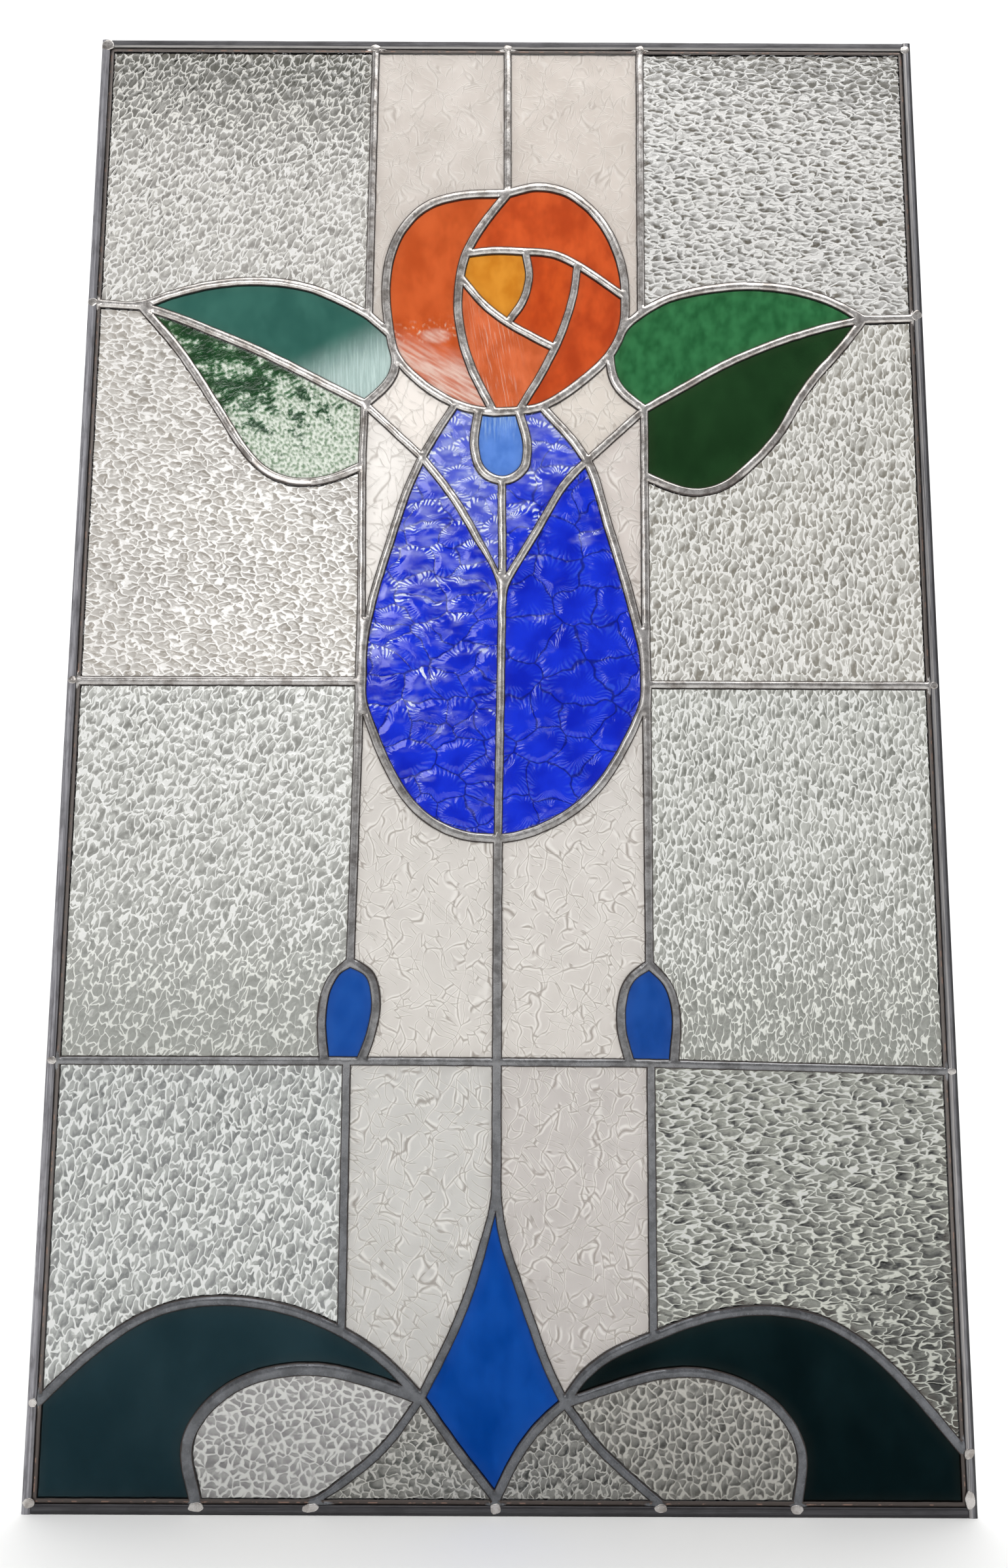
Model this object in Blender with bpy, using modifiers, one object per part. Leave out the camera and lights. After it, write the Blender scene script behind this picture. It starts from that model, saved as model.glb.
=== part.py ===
"""Stained glass panel: an orange rose over a blue drop, with leaves, buds, waves and a diamond.

The panel stands upright with its front towards -Y. X runs across, Z runs up, and the
origin is the middle of the bottom edge. Forty-two panes of cut glass are wrapped in foil
and joined by one net of solder, and four lengths of lead came bind the edge.
"""
from math import atan2, pi

import bmesh
import bpy
from mathutils import Matrix, Vector
from mathutils.geometry import delaunay_2d_cdt, intersect_point_line

# Overall size
PANEL_WIDTH = 0.600
PANEL_HEIGHT = 1.020

# Glass, and the gap that touching pieces keep
GLASS_THICKNESS = 0.003
CLEARANCE = 0.0003

# Edge came: a U-shaped strip of lead around the glass
CAME_FACE = 0.006
CAME_WALL = 0.001
CAME_LEAF = 0.001
CAME_CROWN = 0.0004
CAME_ROUNDING = 0.0012

# Solder: the seam between two panes, and the bead that covers it on both faces
SEAM_WIDTH = 0.001
BEAD_NARROW = 0.0048
BEAD_PLAIN = 0.0056
BEAD_WIDE = 0.0072
BEAD_HEIGHT = 0.0012

# Tinned foil that shows beside the came
RIM_WIDTH = 0.0022
RIM_HEIGHT = 0.0003

# How far a straight facet may leave its curve: in sight, and hidden under the solder
FACET_IN_SIGHT = 0.0004
FACET_HIDDEN = 0.001
STEPS_PER_SPAN = 12

# The cartoon is the full-size drawing that the glass is cut to. Its points are in
# millimetres, x from the middle line and z from the bottom edge, on a sheet of this size
CARTOON_WIDTH = 600
CARTOON_HEIGHT = 1020

# Half the thickness of the slot that holds the glass, in the came and under the beads
SLOT = GLASS_THICKNESS / 2 + CLEARANCE

# The net of solder ends where the came's face begins
FIELD_EDGE = CAME_FACE + CLEARANCE
FIELD_LEFT = -PANEL_WIDTH / 2 + FIELD_EDGE
FIELD_RIGHT = PANEL_WIDTH / 2 - FIELD_EDGE
FIELD_BOTTOM = FIELD_EDGE
FIELD_TOP = PANEL_HEIGHT - FIELD_EDGE


def drawn(x, z):
    """A point of the cartoon at its place on the panel."""
    return Vector((x * PANEL_WIDTH / CARTOON_WIDTH, z * PANEL_HEIGHT / CARTOON_HEIGHT))


def on_top(x):
    return Vector((drawn(x, 0).x, FIELD_TOP))


def on_bottom(x):
    return Vector((drawn(x, 0).x, FIELD_BOTTOM))


def on_left(z):
    return Vector((FIELD_LEFT, drawn(0, z).y))


def on_right(z):
    return Vector((FIELD_RIGHT, drawn(0, z).y))


# Places where lines of the cartoon meet
JOINTS = {
    "corner top left": Vector((FIELD_LEFT, FIELD_TOP)),
    "corner top right": Vector((FIELD_RIGHT, FIELD_TOP)),
    "corner bottom left": Vector((FIELD_LEFT, FIELD_BOTTOM)),
    "corner bottom right": Vector((FIELD_RIGHT, FIELD_BOTTOM)),
    "top of left mullion": on_top(-97),
    "top of middle line": on_top(1),
    "top of right mullion": on_top(99),
    "left edge at leaf": on_left(811.5),
    "left edge at middle bar": on_left(534),
    "left edge at lower bar": on_left(278.3),
    "left edge at wave": on_left(66),
    "right edge at leaf": on_right(803),
    "right edge at middle bar": on_right(533),
    "right edge at lower bar": on_right(273.7),
    "right edge at wave": on_right(38.5),
    "foot of left curl": on_bottom(-190.8),
    "foot of left fin": on_bottom(-119.5),
    "bottom edge at diamond": on_bottom(-2.5),
    "foot of right fin": on_bottom(102),
    "foot of right curl": on_bottom(187),
    "rose top": drawn(1.5, 898.8),
    "heart upper left": drawn(-28.5, 851.5),
    "heart left": drawn(-32.5, 833.5),
    "heart upper right": drawn(14.5, 853.2),
    "heart bottom": drawn(2, 798.2),
    "petal top": drawn(52.3, 843),
    "petal bottom": drawn(35.8, 779),
    "petal at rim": drawn(86.6, 818),
    "rose foot left": drawn(-35, 736.4),
    "cup upper left": drawn(-18.5, 731.6),
    "left petal foot": drawn(-8, 730.3),
    "right petal foot": drawn(10, 731.4),
    "rose foot right": drawn(26.5, 734.7),
    "left leaf meets rose": drawn(-82.5, 789),
    "left leaf leaves rose": drawn(-78, 772.5),
    "left leaf at mullion": drawn(-98, 803.2),
    "left leaf tip": drawn(-262, 809.5),
    "left leaf base": drawn(-99.5, 736),
    "left leaf foot": drawn(-100.5, 690),
    "right leaf meets rose": drawn(84.5, 794),
    "right leaf leaves rose": drawn(75, 774),
    "right leaf at mullion": drawn(97.8, 806),
    "right leaf tip": drawn(257.5, 801.7),
    "right leaf base": drawn(99.3, 732.8),
    "right leaf foot": drawn(99, 683.5),
    "left fork": drawn(-58.3, 696.5),
    "right fork": drawn(58.5, 694.5),
    "cup bottom": drawn(-1.8, 679.3),
    "fork foot": drawn(-1, 602.5),
    "drop bottom": drawn(-3.2, 426.2),
    "drop joins left mullion": drawn(-98.2, 556),
    "left mullion at middle bar": drawn(-98.4, 534.5),
    "drop parts from left mullion": drawn(-98.6, 525),
    "drop joins right mullion": drawn(98.2, 552),
    "right mullion at middle bar": drawn(98.3, 533),
    "drop parts from right mullion": drawn(98.3, 523),
    "left bud tip": drawn(-101.3, 343),
    "left bud outer foot": drawn(-117, 278.6),
    "left mullion at lower bar": drawn(-102.3, 278.6),
    "left bud inner foot": drawn(-92.8, 278.6),
    "middle line at lower bar": drawn(-3.1, 278.4),
    "right bud inner foot": drawn(84.8, 278.1),
    "right mullion at lower bar": drawn(98.4, 277.9),
    "right bud outer foot": drawn(113.5, 277.6),
    "right bud tip": drawn(98.3, 342.3),
    "left mullion foot": drawn(-101.8, 109.3),
    "right mullion foot": drawn(98, 107),
    "left knot": drawn(-50.5, 69.3),
    "right knot": drawn(41, 66.7),
    "diamond top": drawn(-3, 196),
    "diamond foot": drawn(-2.5, 9.5),
}

# Lines of the cartoon: the width of the bead, then the joints and the points between them.
# Each line runs smoothly through all of its points
LINES = [
    (BEAD_NARROW, ["top of left mullion", "left leaf at mullion"]),
    (BEAD_NARROW, ["top of middle line", "rose top"]),
    (BEAD_NARROW, ["top of right mullion", "right leaf at mullion"]),
    # Rose
    (BEAD_PLAIN, ["rose top", drawn(-16, 898.6), drawn(-34, 896.8), drawn(-58, 888.6),
                  drawn(-76.3, 868), drawn(-84.8, 842), drawn(-86, 818), "left leaf meets rose",
                  "left leaf leaves rose", drawn(-59.6, 752), "rose foot left",
                  "cup upper left", "left petal foot", "right petal foot", "rose foot right",
                  drawn(50.8, 750.4), "right leaf leaves rose", "right leaf meets rose",
                  "petal at rim", drawn(83.6, 845), drawn(70, 876.5), drawn(46, 899.2),
                  drawn(22, 904.2), "rose top"]),
    (BEAD_PLAIN, ["rose top", drawn(-15, 876.5), "heart upper left", "heart left",
                  drawn(-34, 808), drawn(-26.8, 771.2), drawn(-17, 749.5), "left petal foot"]),
    (BEAD_NARROW, ["heart upper left", drawn(-8, 854), "heart upper right",
                   drawn(34, 851.5), "petal top", "petal at rim"]),
    (BEAD_NARROW, ["heart upper right", drawn(17.3, 835), drawn(13, 815.5), "heart bottom"]),
    (BEAD_NARROW, ["heart left", drawn(-18, 815), "heart bottom", "petal bottom"]),
    (BEAD_NARROW, ["petal top", drawn(49.5, 822), drawn(43, 797.5), "petal bottom",
                   drawn(24.5, 756.5), "right petal foot"]),
    # Left leaf
    (BEAD_PLAIN, ["left edge at leaf", "left leaf tip"]),
    (BEAD_PLAIN, ["left leaf tip", drawn(-243, 818), drawn(-210, 826.8), drawn(-176.7, 829.3),
                  drawn(-143, 825), drawn(-120, 815.4), "left leaf at mullion",
                  "left leaf meets rose"]),
    (BEAD_PLAIN, ["left leaf leaves rose", drawn(-79.3, 759.5), drawn(-86.5, 748),
                  "left leaf base"]),
    (BEAD_PLAIN, ["left leaf tip", drawn(-240, 802.6), drawn(-176.7, 776), "left leaf base"]),
    (BEAD_PLAIN, ["left leaf tip", drawn(-235, 778.3), drawn(-210, 741.7), drawn(-185, 702.5),
                  drawn(-170, 686.2), drawn(-150, 677.8), drawn(-125, 679.3),
                  "left leaf foot"]),
    # Right leaf
    (BEAD_PLAIN, ["right edge at leaf", "right leaf tip"]),
    (BEAD_PLAIN, ["right leaf tip", drawn(240, 813.2), drawn(215, 822.5), drawn(180, 827.5),
                  drawn(143.3, 824.2), drawn(115, 816.5), "right leaf at mullion",
                  "right leaf meets rose"]),
    (BEAD_PLAIN, ["right leaf leaves rose", drawn(76, 762), drawn(82, 748), "right leaf base"]),
    (BEAD_NARROW, ["right leaf tip", drawn(236.7, 797.3), drawn(200, 785.8), drawn(160, 768.5),
                   drawn(126.7, 749.5), "right leaf base"]),
    (BEAD_PLAIN, ["right leaf tip", drawn(240, 778.3), drawn(223.3, 760), drawn(209.2, 740),
                  drawn(195, 715), drawn(173.3, 690.8), drawn(153.3, 675.2),
                  drawn(133.3, 670.8), drawn(114, 676.5), "right leaf foot"]),
    # Drop
    (BEAD_NARROW, ["left leaf base", "left fork"]),
    (BEAD_NARROW, ["right leaf base", "right fork"]),
    (BEAD_NARROW, ["rose foot left", "left fork", drawn(-71.2, 664), drawn(-80.8, 630.4),
                   drawn(-89.6, 600), "drop joins left mullion"]),
    (BEAD_PLAIN, ["rose foot right", "right fork", drawn(72.9, 647.2), drawn(84.9, 606.3),
                  "drop joins right mullion"]),
    (BEAD_PLAIN, ["drop parts from left mullion", drawn(-92.8, 509), drawn(-77.2, 471.9),
                  drawn(-57, 444), drawn(-32, 429.5), "drop bottom", drawn(14, 428.8),
                  drawn(40, 440.2), drawn(62, 458), drawn(80, 484), drawn(91, 506.5),
                  "drop parts from right mullion"]),
    (BEAD_NARROW, ["left fork", drawn(-34.2, 664.6), "fork foot"]),
    (BEAD_NARROW, ["right fork", drawn(42.9, 678), drawn(25.3, 647.2), "fork foot"]),
    (BEAD_PLAIN, ["cup upper left", drawn(-21.4, 707), drawn(-16.5, 687.5), "cup bottom",
                  drawn(13, 687.5), drawn(16, 707), "right petal foot"]),
    (BEAD_NARROW, ["cup bottom", "fork foot"]),
    (BEAD_NARROW, ["fork foot", "drop bottom"]),
    # Mullions and bars
    (BEAD_NARROW, ["left leaf base", "left leaf foot"]),
    (BEAD_NARROW, ["left leaf foot", "drop joins left mullion"]),
    (BEAD_WIDE, ["drop joins left mullion", "left mullion at middle bar"]),
    (BEAD_WIDE, ["left mullion at middle bar", "drop parts from left mullion"]),
    (BEAD_NARROW, ["drop parts from left mullion", "left bud tip"]),
    (BEAD_NARROW, ["right leaf base", "right leaf foot"]),
    (BEAD_NARROW, ["right leaf foot", "drop joins right mullion"]),
    (BEAD_WIDE, ["drop joins right mullion", "right mullion at middle bar"]),
    (BEAD_WIDE, ["right mullion at middle bar", "drop parts from right mullion"]),
    (BEAD_NARROW, ["drop parts from right mullion", "right bud tip"]),
    (BEAD_PLAIN, ["drop bottom", "middle line at lower bar"]),
    (BEAD_PLAIN, ["left edge at middle bar", "left mullion at middle bar"]),
    (BEAD_NARROW, ["right mullion at middle bar", "right edge at middle bar"]),
    (BEAD_NARROW, ["left edge at lower bar", "left bud outer foot"]),
    (BEAD_NARROW, ["left bud outer foot", "left mullion at lower bar"]),
    (BEAD_NARROW, ["left mullion at lower bar", "left bud inner foot"]),
    (BEAD_NARROW, ["left bud inner foot", "middle line at lower bar"]),
    (BEAD_NARROW, ["middle line at lower bar", "right bud inner foot"]),
    (BEAD_NARROW, ["right bud inner foot", "right mullion at lower bar"]),
    (BEAD_NARROW, ["right mullion at lower bar", "right bud outer foot"]),
    (BEAD_NARROW, ["right bud outer foot", "right edge at lower bar"]),
    # Buds
    (BEAD_PLAIN, ["left bud outer foot", drawn(-119.8, 300), drawn(-117.8, 323),
                  drawn(-110.5, 337.5), "left bud tip"]),
    (BEAD_PLAIN, ["left bud tip", drawn(-88.5, 336), drawn(-83.6, 320), drawn(-85.4, 300.5),
                  "left bud inner foot"]),
    (BEAD_PLAIN, ["right bud inner foot", drawn(79.2, 300), drawn(79.8, 319), drawn(85.5, 333.5),
                  "right bud tip"]),
    (BEAD_PLAIN, ["right bud tip", drawn(110.2, 330.5), drawn(116, 311), "right bud outer foot"]),
    # Lower mullions and middle line
    (BEAD_NARROW, ["left mullion at lower bar", "left mullion foot"]),
    (BEAD_NARROW, ["right mullion at lower bar", "right mullion foot"]),
    (BEAD_PLAIN, ["middle line at lower bar", "diamond top"]),
    # Waves, curls and fins
    (BEAD_PLAIN, ["left edge at wave", drawn(-260.4, 96.7), drawn(-225, 119.4),
                  drawn(-185, 127.9), drawn(-140, 123.4), "left mullion foot",
                  drawn(-76.5, 93.6), "left knot"]),
    (BEAD_WIDE, ["left knot", drawn(-78.5, 78.2), drawn(-111.6, 85.9), drawn(-140, 85.2),
                 drawn(-165.3, 78), drawn(-188, 61), drawn(-198.3, 40), "foot of left curl"]),
    (BEAD_NARROW, ["left knot", drawn(-71, 42), drawn(-96.5, 20.8), "foot of left fin"]),
    (BEAD_PLAIN, ["right knot", drawn(52, 82), drawn(70, 95.5), "right mullion foot",
                  drawn(132.3, 118.8), drawn(168, 123.5), drawn(202.5, 118.4),
                  drawn(233.5, 101.8), drawn(260.4, 77), "right edge at wave"]),
    (BEAD_PLAIN, ["right knot", drawn(68.2, 75.2), drawn(99.2, 83.7), drawn(128, 85.2),
                  drawn(157, 77), drawn(179.8, 60.5), drawn(191, 38), "foot of right curl"]),
    (BEAD_NARROW, ["right knot", drawn(62, 40.5), drawn(86.8, 18.6), "foot of right fin"]),
    # Diamond
    (BEAD_NARROW, ["diamond top", drawn(-8.6, 173), drawn(-20.7, 131.8), drawn(-35.1, 98.7),
                   "left knot"]),
    (BEAD_NARROW, ["left knot", drawn(-29, 41), "diamond foot"]),
    (BEAD_NARROW, ["diamond top", drawn(1.4, 168), drawn(13.4, 131.8), drawn(28.9, 91),
                   "right knot"]),
    (BEAD_PLAIN, ["right knot", drawn(23.1, 50.8), drawn(9.8, 33), "diamond foot"]),
    (BEAD_NARROW, ["diamond foot", "bottom edge at diamond"]),
]

# Colour, roughness and metallic value of each material
CLEAR = ("clear_textured_glass", (0.70, 0.71, 0.70), 0.15, 0.0)
CREAM = ("pale_creased_glass", (0.80, 0.76, 0.72), 0.20, 0.0)
ORANGE = ("orange_glass", (0.72, 0.16, 0.03), 0.12, 0.0)
AMBER = ("amber_glass", (0.75, 0.33, 0.02), 0.12, 0.0)
TEAL = ("teal_glass", (0.03, 0.19, 0.15), 0.12, 0.0)
GREEN = ("green_glass", (0.02, 0.20, 0.07), 0.12, 0.0)
WAVY_GREEN = ("wavy_green_glass", (0.02, 0.09, 0.03), 0.12, 0.0)
DARK_GREEN = ("dark_green_glass", (0.01, 0.05, 0.015), 0.12, 0.0)
COBALT = ("cobalt_glass", (0.01, 0.02, 0.60), 0.12, 0.0)
SKY = ("sky_blue_glass", (0.06, 0.24, 0.65), 0.12, 0.0)
BLUE = ("blue_glass", (0.01, 0.09, 0.45), 0.12, 0.0)
NIGHT = ("dark_sea_glass", (0.005, 0.03, 0.04), 0.12, 0.0)
LEAD = ("lead_came", (0.16, 0.16, 0.17), 0.45, 0.8)
SOLDER = ("solder", (0.45, 0.44, 0.43), 0.30, 1.0)

# Panes: name, a point of the cartoon inside the pane, material
PANES = [
    ("clear_pane_top_left", drawn(-200, 930), CLEAR),
    ("cream_strip_top_left", drawn(-50, 950), CREAM),
    ("cream_strip_top_right", drawn(50, 950), CREAM),
    ("clear_pane_top_right", drawn(200, 930), CLEAR),
    ("left_leaf_upper_half", drawn(-160, 800), TEAL),
    ("left_leaf_lower_half", drawn(-150, 720), WAVY_GREEN),
    ("right_leaf_upper_half", drawn(150, 800), GREEN),
    ("right_leaf_lower_half", drawn(150, 720), DARK_GREEN),
    ("rose_left_petal", drawn(-60, 820), ORANGE),
    ("rose_top_petal", drawn(30, 880), ORANGE),
    ("rose_heart", drawn(-5, 830), AMBER),
    ("rose_inner_petal", drawn(30, 820), ORANGE),
    ("rose_bottom_petal", drawn(-5, 770), ORANGE),
    ("rose_right_petal", drawn(65, 800), ORANGE),
    ("cream_piece_under_left_leaf", drawn(-60, 730), CREAM),
    ("cream_wedge_left_of_drop", drawn(-90, 690), CREAM),
    ("cream_piece_under_right_leaf", drawn(60, 735), CREAM),
    ("cream_wedge_right_of_drop", drawn(90, 690), CREAM),
    ("cup_under_rose", drawn(-3, 705), SKY),
    ("drop_upper_left", drawn(-35, 700), COBALT),
    ("drop_upper_right", drawn(30, 690), COBALT),
    ("drop_lower_left", drawn(-50, 560), COBALT),
    ("drop_lower_right", drawn(50, 560), COBALT),
    ("clear_pane_second_left", drawn(-200, 620), CLEAR),
    ("clear_pane_second_right", drawn(200, 620), CLEAR),
    ("clear_pane_third_left", drawn(-200, 400), CLEAR),
    ("clear_pane_third_right", drawn(200, 400), CLEAR),
    ("cream_strip_third_left", drawn(-50, 380), CREAM),
    ("cream_strip_third_right", drawn(50, 380), CREAM),
    ("left_bud", drawn(-100, 310), BLUE),
    ("right_bud", drawn(98, 310), BLUE),
    ("clear_pane_fourth_left", drawn(-200, 200), CLEAR),
    ("clear_pane_fourth_right", drawn(200, 200), CLEAR),
    ("cream_strip_fourth_left", drawn(-60, 200), CREAM),
    ("cream_strip_fourth_right", drawn(60, 200), CREAM),
    ("left_wave", drawn(-240, 50), NIGHT),
    ("right_wave", drawn(240, 40), NIGHT),
    ("clear_pane_under_left_wave", drawn(-140, 50), CLEAR),
    ("clear_pane_under_right_wave", drawn(130, 50), CLEAR),
    ("clear_triangle_left_of_diamond", drawn(-50, 25), CLEAR),
    ("clear_triangle_right_of_diamond", drawn(45, 25), CLEAR),
    ("blue_diamond", drawn(-5, 100), BLUE),
]

# Width that marks the border of the drawing, which carries no bead
EDGE = "edge"

# Faces that turn by less than this angle count as one flat face
FLAT_ANGLE = 0.001

# Points nearer than this are one point
WELD_DISTANCE = 0.000001

# Sides of an outline whose turn has a sine below this are taken as in line
SMALL_TURN = 0.02


def smooth_curve(points):
    """Points along a curve that runs through all the given points, densely."""
    if len(points) == 2:
        return [[points[0], points[1]]]
    before = points[0] * 2 - points[1]
    after = points[-1] * 2 - points[-2]
    run = [before] + points + [after]
    spans = []
    for first, start, end, last in zip(run, run[1:], run[2:], run[3:]):
        pull_start = (end - start).length ** 0.5
        pull_first = (start - first).length ** 0.5
        pull_last = (last - end).length ** 0.5
        leaving = tangent(first, start, end, pull_first, pull_start)
        arriving = tangent(start, end, last, pull_start, pull_last)
        span = []
        for step in range(STEPS_PER_SPAN + 1):
            t = step / STEPS_PER_SPAN
            span.append(start * (2 * t ** 3 - 3 * t ** 2 + 1) + end * (3 * t ** 2 - 2 * t ** 3)
                        + leaving * pull_start * (t ** 3 - 2 * t ** 2 + t)
                        + arriving * pull_start * (t ** 3 - t ** 2))
        spans.append(span)
    return spans


def tangent(before, here, after, pull_before, pull_after):
    """Direction of the curve at a point, weighed by the distance to its neighbours."""
    return ((here - before) / pull_before - (after - before) / (pull_before + pull_after)
            + (after - here) / pull_after)


def simplified(points, tolerance):
    """The fewest of the points that stay within the tolerance of the curve."""
    start = points[0]
    end = points[-1]
    worst = 0.0
    split = None
    for index in range(1, len(points) - 1):
        nearest = intersect_point_line(points[index], start, end)[0]
        distance = (points[index] - nearest.to_2d()).length
        if distance > worst:
            worst = distance
            split = index
    if split is None or worst <= tolerance:
        return [start, end]
    return simplified(points[:split + 1], tolerance)[:-1] + simplified(points[split:], tolerance)


def edges_between_joints(tolerance):
    """Every line cut at its joints: (joint, joint, width or EDGE, points)."""
    edges = []
    for width, stops in LINES:
        places = [JOINTS[stop] if isinstance(stop, str) else stop for stop in stops]
        spans = smooth_curve(places)
        joint = stops[0]
        run = [places[0]]
        for stop, span in zip(stops[1:], spans):
            run.extend(span[1:])
            if isinstance(stop, str):
                edges.append((joint, stop, width, simplified(run, tolerance)))
                joint = stop
                run = [JOINTS[stop]]
    border = [name for name, place in JOINTS.items() if on_border(place)]
    border.sort(key=lambda name: around_the_border(JOINTS[name]))
    for start, end in zip(border, border[1:] + border[:1]):
        edges.append((start, end, EDGE, [JOINTS[start], JOINTS[end]]))
    return edges


def on_border(place):
    return place.x in (JOINTS["corner top left"].x, JOINTS["corner top right"].x) \
        or place.y in (JOINTS["corner top left"].y, JOINTS["corner bottom left"].y)


def around_the_border(place):
    """Angle of a border joint, seen from the middle of the panel."""
    return atan2(place.y - PANEL_HEIGHT / 2, place.x) % (2 * pi)


def faces_of(edges):
    """Closed faces of the drawing, counter-clockwise, each a list of (start, end, width)."""
    leaving = {}
    for joint, other, width, points in edges:
        for start, run in ((joint, points), (other, points[::-1])):
            end = other if start == joint and run is points else joint
            leaving.setdefault(start, []).append((end, width, run))
    for joint, runs in leaving.items():
        runs.sort(key=lambda item: atan2(*(item[2][1] - item[2][0]).yx))
    unused = {(joint, index) for joint, runs in leaving.items() for index in range(len(runs))}
    faces = []
    while unused:
        at = min(unused)
        face = []
        while at in unused:
            unused.remove(at)
            end, width, run = leaving[at[0]][at[1]]
            face.extend((a, b, width) for a, b in zip(run, run[1:]))
            back = run[::-1]
            arrival = next(index for index, item in enumerate(leaving[end])
                           if item[2] == back)
            at = (end, (arrival - 1) % len(leaving[end]))
        if signed_area([side[0] for side in face]) > 0:
            faces.append(face)
    return faces


def signed_area(outline):
    return sum(a.cross(b) for a, b in zip(outline, outline[1:] + outline[:1])) / 2


def contains(outline, place):
    inside = False
    for a, b in zip(outline, outline[1:] + outline[:1]):
        if (a.y > place.y) != (b.y > place.y):
            if place.x < a.x + (place.y - a.y) / (b.y - a.y) * (b.x - a.x):
                inside = not inside
    return inside


def face_around(faces, place):
    return next(face for face in faces if contains([side[0] for side in face], place))


def inset(face, margin_of):
    """Outline of a face with each side moved inwards by the margin for its width."""
    sides = []
    for start, end, width in face:
        along = (end - start).normalized()
        shift = Vector((-along.y, along.x)) * margin_of(width)
        sides.append((start + shift, end + shift, along))
    while True:
        corners = [crossing(before, after) for before, after in zip(sides[-1:] + sides, sides)]
        lengths = [(end - start).dot(side[2])
                   for start, end, side in zip(corners, corners[1:] + corners[:1], sides)]
        if min(lengths) > 0:
            return corners
        sides.pop(lengths.index(min(lengths)))


def crossing(before, after):
    """Where two moved sides meet, or half-way between them if they are almost in line."""
    turn = before[2].cross(after[2])
    if abs(turn) < SMALL_TURN:
        return (before[1] + after[0]) / 2
    reach = (after[0] - before[1]).cross(after[2]) / turn
    return before[1] + before[2] * reach


def bead_margin(width):
    return RIM_WIDTH if width == EDGE else width / 2


def seat_margin(width):
    """The slot cut for a pane, which runs on past the field under the came."""
    return -CAME_FACE if width == EDGE else SEAM_WIDTH / 2


def pane_margin(width):
    if width == EDGE:
        return CAME_WALL + CLEARANCE - FIELD_EDGE
    return SEAM_WIDTH / 2 + CLEARANCE


def make_material(colour_name, colour, roughness, metallic):
    material = bpy.data.materials.get(colour_name)
    if material is None:
        material = bpy.data.materials.new(colour_name)
        material.use_nodes = True
        shader = material.node_tree.nodes["Principled BSDF"]
        shader.inputs["Base Color"].default_value = (*colour, 1.0)
        shader.inputs["Roughness"].default_value = roughness
        shader.inputs["Metallic"].default_value = metallic
    return material


def flat_piece(name, outlines, half_thickness, collection):
    """Flat outlines, drawn in X and Y and thickened along Z to both sides."""
    curve = bpy.data.curves.new(name, "CURVE")
    curve.dimensions = "2D"
    curve.fill_mode = "BOTH"
    curve.extrude = half_thickness
    for outline in outlines:
        spline = curve.splines.new("POLY")
        spline.points.add(len(outline) - 1)
        for point, place in zip(spline.points, outline):
            point.co = (place.x, place.y, 0.0, 1.0)
        spline.use_cyclic_u = True
    piece = bpy.data.objects.new(name, curve)
    collection.objects.link(piece)
    return piece


def made_mesh(piece):
    """Turn a flat piece into a closed mesh at the same place, with whole faces as its caps."""
    bpy.context.view_layer.update()
    evaluated = piece.evaluated_get(bpy.context.evaluated_depsgraph_get())
    mesh = bpy.data.meshes.new_from_object(evaluated)
    weld = bmesh.new()
    weld.from_mesh(mesh)
    bmesh.ops.remove_doubles(weld, verts=weld.verts, dist=WELD_DISTANCE)
    bmesh.ops.dissolve_limit(weld, angle_limit=FLAT_ANGLE, verts=weld.verts, edges=weld.edges)
    weld.to_mesh(mesh)
    weld.free()
    name = piece.name
    placement = piece.matrix_world.copy()
    collection = piece.users_collection[0]
    bpy.data.objects.remove(piece)
    solid = bpy.data.objects.new(name, mesh)
    solid.matrix_world = placement
    collection.objects.link(solid)
    return solid


# Turns a drawing in X and Y upright, its Y up and its Z towards the back
UPRIGHT = Matrix(((1, 0, 0, 0), (0, 0, -1, 0), (0, 1, 0, 0), (0, 0, 0, 1)))


def make_pane(name, face, material, collection):
    pane = flat_piece(name, [inset(face, pane_margin)], GLASS_THICKNESS / 2, collection)
    pane.matrix_world = UPRIGHT
    pane.data.materials.append(make_material(*material))


def came_profile():
    """Section of the came: across its face from the outer edge, then through its depth."""
    face = SLOT + CAME_LEAF
    half = [(0, face), (CAME_ROUNDING, face + CAME_CROWN),
            (CAME_FACE - CAME_ROUNDING, face + CAME_CROWN), (CAME_FACE, face),
            (CAME_FACE, SLOT), (CAME_WALL, SLOT)]
    return [Vector((across, depth)) for across, depth in half] \
        + [Vector((across, -depth)) for across, depth in reversed(half)]


def make_came(name, length, placement, collection):
    came = flat_piece(name, [came_profile()], length / 2, collection)
    came.matrix_world = placement
    came.data.materials.append(make_material(*LEAD))


def placed(across, depth, along, origin):
    """A placement from the directions of a section's X, Y and Z axes and its origin."""
    return Matrix([*zip(across, depth, along, origin), (0, 0, 0, 1)])


def make_edge(collection):
    half_width = PANEL_WIDTH / 2
    half_height = PANEL_HEIGHT / 2
    upright_length = PANEL_HEIGHT
    level_length = PANEL_WIDTH - 2 * FIELD_EDGE
    make_came("came_left", upright_length,
              placed((1, 0, 0), (0, 1, 0), (0, 0, 1), (-half_width, 0, half_height)), collection)
    make_came("came_right", upright_length,
              placed((-1, 0, 0), (0, 1, 0), (0, 0, -1), (half_width, 0, half_height)), collection)
    make_came("came_bottom", level_length,
              placed((0, 0, 1), (0, 1, 0), (-1, 0, 0), (0, 0, 0)), collection)
    make_came("came_top", level_length,
              placed((0, 0, -1), (0, 1, 0), (1, 0, 0), (0, 0, PANEL_HEIGHT)), collection)


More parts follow.
